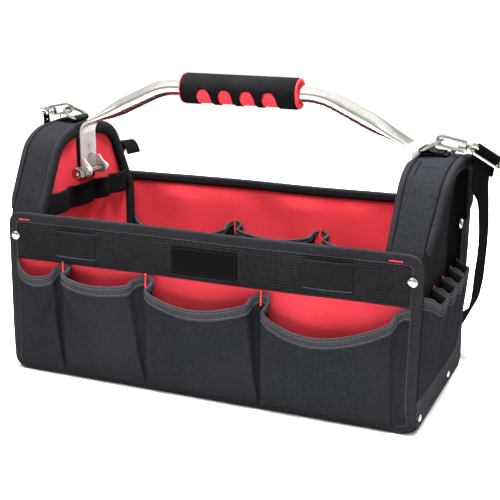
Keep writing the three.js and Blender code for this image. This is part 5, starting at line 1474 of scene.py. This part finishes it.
# Shoulder strap: rows of place and the way the webbing's width points
STRAP = {"half": 16.0, "thick": 1.8}
STRAP_RIGHT = (
    (242.0, 9.0, 225.0, 0.36, 0.82, -0.36),
    (241.9, 19.0, 210.0, 0.09, 0.98, -0.1),
    (240.6, 40.0, 180.0, 0.06, 0.92, 0.38),
    (238.2, 60.0, 152.5, 0.09, 0.89, 0.45),
    (233.2, 82.0, 119.0, 0.15, 0.88, 0.45),
    (227.0, 105.0, 80.0, 0.17, 0.87, 0.46),
    (216.0, 123.0, 49.6, 0.2, 0.86, 0.47),
    (190.0, 130.0, 27.0, 0.05, 0.95, 0.3),
    (164.0, 129.0, 10.0, 0.0, 1.0, 0.1),
    (130.0, 127.5, 2.0, 0.0, 1.0, 0.0),
    (96.0, 127.5, 1.25, 0.0, 1.0, 0.0),
    (40.0, 127.5, 1.25, 0.0, 1.0, 0.0),
)
STRAP_LIFT = {"from": 90.0, "to": 178.0, "height": 7.5}
# Woven edge of the webbing: way in from the edge and share of half the thickness
WEBBING_EDGE = ((0.0, 0.3), (0.5, 1.0), (2.2, 1.0), (3.0, 0.82))
WEBBING_MIDDLE = 0.85
# Fold round the upper bar of a loop: height above the lower bar and distance in front
FOLD_BACK = ((-7.0, -6.1), (0.0, -5.8), (5.0, -4.4))
FOLD_FRONT = ((6.0, 1.9), (4.4, 0.0), (2.6, -2.0), (0.0, -3.2), (-3.0, -3.6))
# Free end of the strap: the height where it leaves the strap, the run that lies on it and the lift there
TAIL = {"half": 10.0, "z": 96.0, "run": 43.0, "lift": 1.6}
TAIL_ROUTE = (
    (-224.6, 106.5, 128.0, -0.05, 0.95, 0.3),
    (-221.5, 109.0, 156.0, 0.25, 0.95, 0.1),
    (-214.0, 112.0, 186.0, 0.32, 0.94, 0.0),
    (-205.4, 114.5, 206.0, 0.35, 0.94, 0.0),
    (-199.5, 114.5, 212.5, 0.35, 0.94, 0.0),
    (-192.0, 112.5, 210.0, 0.35, 0.94, 0.0),
    (-186.0, 111.0, 199.0, 0.35, 0.94, 0.0),
)


def fold_rows(end):
    along, rise, front, centre = loop_frame(end)
    turn = arc(STRAP_LOOP["wire"] + 0.3 + STRAP["thick"] / 2, math.pi, 0, 9)
    over = turn[:, ::-1] + (STRAP_LOOP["depth"], 0)
    rows = [*FOLD_BACK, *over, *FOLD_FRONT]
    return [np.concatenate([centre + rise * r + front * f, along]) for r, f in rows]


def webbing(name, node, rows, half, count, rests_on):
    """Flat webbing along rows of place and width direction, with thick woven edges."""
    rows = catmull(rows, count)
    at = rows[:, :3]
    run = unit(np.gradient(at, axis=0))
    across = square_to(rows[:, 3:], run)
    face = np.cross(run, across)
    t = STRAP["thick"] / 2
    lower = [(a - half, -share * t) for a, share in WEBBING_EDGE]
    lower += [(0, -WEBBING_MIDDLE * t)] + [(-x, y) for x, y in lower[::-1]]
    piece = sweep(name, at, across, face, lower + [(-x, -y) for x, y in lower], STRAP_WEBBING)
    lay(piece, "webbing", [node], (2 * half, lengths(at)[-1]), "hung", rests_on)
    return at, across, face


def mirrored_row(row):
    x, y, z, ax, ay, az = row
    lift = STRAP_LIFT["height"] * float(smoothstep(z, STRAP_LIFT["from"], STRAP_LIFT["to"]))
    return (-x, y, z + lift, -ax, ay, az)


def make_strap():
    left = [mirrored_row(row) for row in STRAP_RIGHT[::-1]]
    rows = [*fold_rows(ENDS["right"]), *STRAP_RIGHT, *left, *fold_rows(ENDS["left"])[::-1]]
    held_by = ["strap_ring_right", "strap_ring_left"]
    at, across, face = webbing("shoulder_strap", "strap", rows, STRAP["half"], 420, held_by)
    distance = np.where(at[:, 0] < 0, np.abs(at[:, 2] - TAIL["z"]), np.inf)
    upper = int(np.argmin(distance))
    lower = upper - int(TAIL["run"] / (lengths(at)[-1] / len(at)))
    rows = []
    for i, lift in ((lower, 0.0), (upper, TAIL["lift"])):
        inward = face[i] * np.sign(face[i][0])
        rows.append(np.concatenate([at[i] + inward * (STRAP["thick"] + 0.3 + lift), across[i]]))
    webbing("strap_free_end", "strap_tail", [*rows, *TAIL_ROUTE], TAIL["half"], 90, ["shoulder_strap"])


# Snaps and rivets
SNAP = {"radius": 4.6, "height": 2.4, "x": 207.0, "z": 146.0, "stand": 1.6}
END_SNAP = {"y": 54.0, "z": 166.0, "stand": 0.5}
RING_SNAP = ((1.7, -0.6), (5.0, -0.6), (5.3, 0.2), (5.2, 1.1), (4.6, 1.9), (3.7, 2.3), (2.8, 2.1), (2.1, 1.5),
             (1.7, 0.6))
RIVET = {"radius": 3.4, "height": 1.6, "z": 14.0, "stand": 0.3}
RIVETS = {"rivet_front": -88.0, "rivet_rear": 30.0}
# Pressed cap above its rim: shares of the radius and of the height
CAP = ((1.0, 0.25), (0.93, 0.45), (0.84, 0.5), (0.76, 0.72), (0.5, 0.92), (0.25, 1.0))


def dome(name, node, size, axis, centre):
    """Pressed cap with a rolled rim."""
    radius, height = size["radius"], size["height"]
    profile = [(0.05, -0.6), (radius * 0.96, -0.6), (radius, -0.1)]
    profile += [(a * radius, b * height) for a, b in CAP] + [(0.05, height)]
    settle(turned(name, profile, axis, soft(centre), NICKEL), "nickel_steel", node)


def make_snaps():
    outwards = (1, 0, 0)
    for side, end in ENDS.items():
        centre = on_front(end["sign"] * SNAP["x"], SNAP["stand"], SNAP["z"])
        dome("snap_cap_" + side, "front_snap_" + side, SNAP, FORWARD, centre)
    centre = soft(on_right(END_SNAP["y"], END_SNAP["stand"], END_SNAP["z"]))
    ring = turned("ring_snap", corner_cut(RING_SNAP, 1, 0.25), outwards, centre, NICKEL)
    settle(ring, "nickel_steel", "end_snap_right")
    for name, y in RIVETS.items():
        centre = on_right(y, BASE_BAND["stand"] + RIVET["stand"], RIVET["z"])
        dome("foot_" + name, "end_" + name, RIVET, outwards, centre)


# Camera, light and floor
CAMERA = {"azimuth": 22.73, "elevation": 15.04, "roll": 0.44, "distance": 1073.6,
          "target": (10.5, 0.0, 128.9)}
FOCAL_PIXELS = 1035.8
PICTURE_PIXELS = 500
SENSOR = 36.0
LIGHTS = named("name place aim size power spread glossy", (
    ("key", (-0.9, -1.5, 1.7), (0, 0, 0.12), 1.4, 9.0, 180, True),
    ("top", (0.0, 0.0, 1.6), (0, 0.02, 0.1), 0.9, 58.0, 80, False),
    ("fill", (1.9, -0.5, 0.9), (0, 0, 0.12), 1.3, 7.0, 180, True),
    ("rim", (-0.6, 1.6, 1.2), (0, 0, 0.15), 1.2, 8.0, 180, True),
))
# Brightness of the studio from the horizon to the height where it is full
SKY = {"From Min": 0.0, "From Max": 0.8, "To Min": 0.22, "To Max": 1.3}
FLOOR_REACH = 60.0


def make_camera():
    azimuth, elevation, tilt = (math.radians(CAMERA[k]) for k in ("azimuth", "elevation", "roll"))
    level = math.cos(elevation)
    back = Vector((math.sin(azimuth) * level, -math.cos(azimuth) * level, math.sin(elevation)))
    right = Vector((math.cos(azimuth), math.sin(azimuth), 0))
    right = right * math.cos(tilt) + back.cross(right) * math.sin(tilt)
    data = bpy.data.cameras.new("camera")
    data.sensor_width = SENSOR
    data.lens = SENSOR * FOCAL_PIXELS / PICTURE_PIXELS
    camera = bpy.data.objects.new("camera", data)
    place = (Vector(CAMERA["target"]) + back * CAMERA["distance"]) * MM
    axes = Matrix((right, back.cross(right), back)).transposed().to_4x4()
    camera.matrix_world = Matrix.Translation(place) @ axes
    bpy.context.scene.collection.objects.link(camera)
    bpy.context.scene.camera = camera


def make_sky():
    world = bpy.data.worlds.new("studio")
    world.use_nodes = True
    tree = world.node_tree
    place = tree.nodes.new("ShaderNodeTexCoord")
    split = tree.nodes.new("ShaderNodeSeparateXYZ")
    level = tree.nodes.new("ShaderNodeMapRange")
    for key, value in SKY.items():
        level.inputs[key].default_value = value
    background = tree.nodes["Background"].inputs
    background["Color"].default_value = (1, 1, 1, 1)
    tree.links.new(place.outputs["Generated"], split.inputs[0])
    tree.links.new(split.outputs["Z"], level.inputs["Value"])
    tree.links.new(level.outputs["Result"], background["Strength"])
    bpy.context.scene.world = world


def make_stage():
    scene = bpy.context.scene
    scene.view_settings.view_transform = "Standard"
    make_sky()
    for row in LIGHTS:
        data = bpy.data.lights.new(row["name"], "AREA")
        data.size = row["size"]
        data.energy = row["power"]
        data.spread = math.radians(row["spread"])
        light = bpy.data.objects.new(row["name"], data)
        light.location = row["place"]
        light.visible_glossy = row["glossy"]
        way = Vector(row["aim"]) - Vector(row["place"])
        light.rotation_euler = way.to_track_quat("-Z", "Y").to_euler()
        scene.collection.objects.link(light)
    mesh = bpy.data.meshes.new("floor")
    corners = [(x * FLOOR_REACH, y * FLOOR_REACH, 0) for x, y in ((-1, -1), (1, -1), (1, 1), (-1, 1))]
    mesh.from_pydata(corners, [], [(0, 1, 2, 3)])
    floor = bpy.data.objects.new("floor", mesh)
    mesh.materials.append(Finish("pale_floor", (0.97, 0.97, 0.97), 0.9).material)
    scene.collection.objects.link(floor)


make_camera()
make_stage()
make_base()
make_long_walls()
make_front_band()
make_ends()
make_pockets()
make_loop_band()
make_handle()
make_grip()
make_hinges()
make_rings()
make_hooks()
make_strap()
make_snaps()
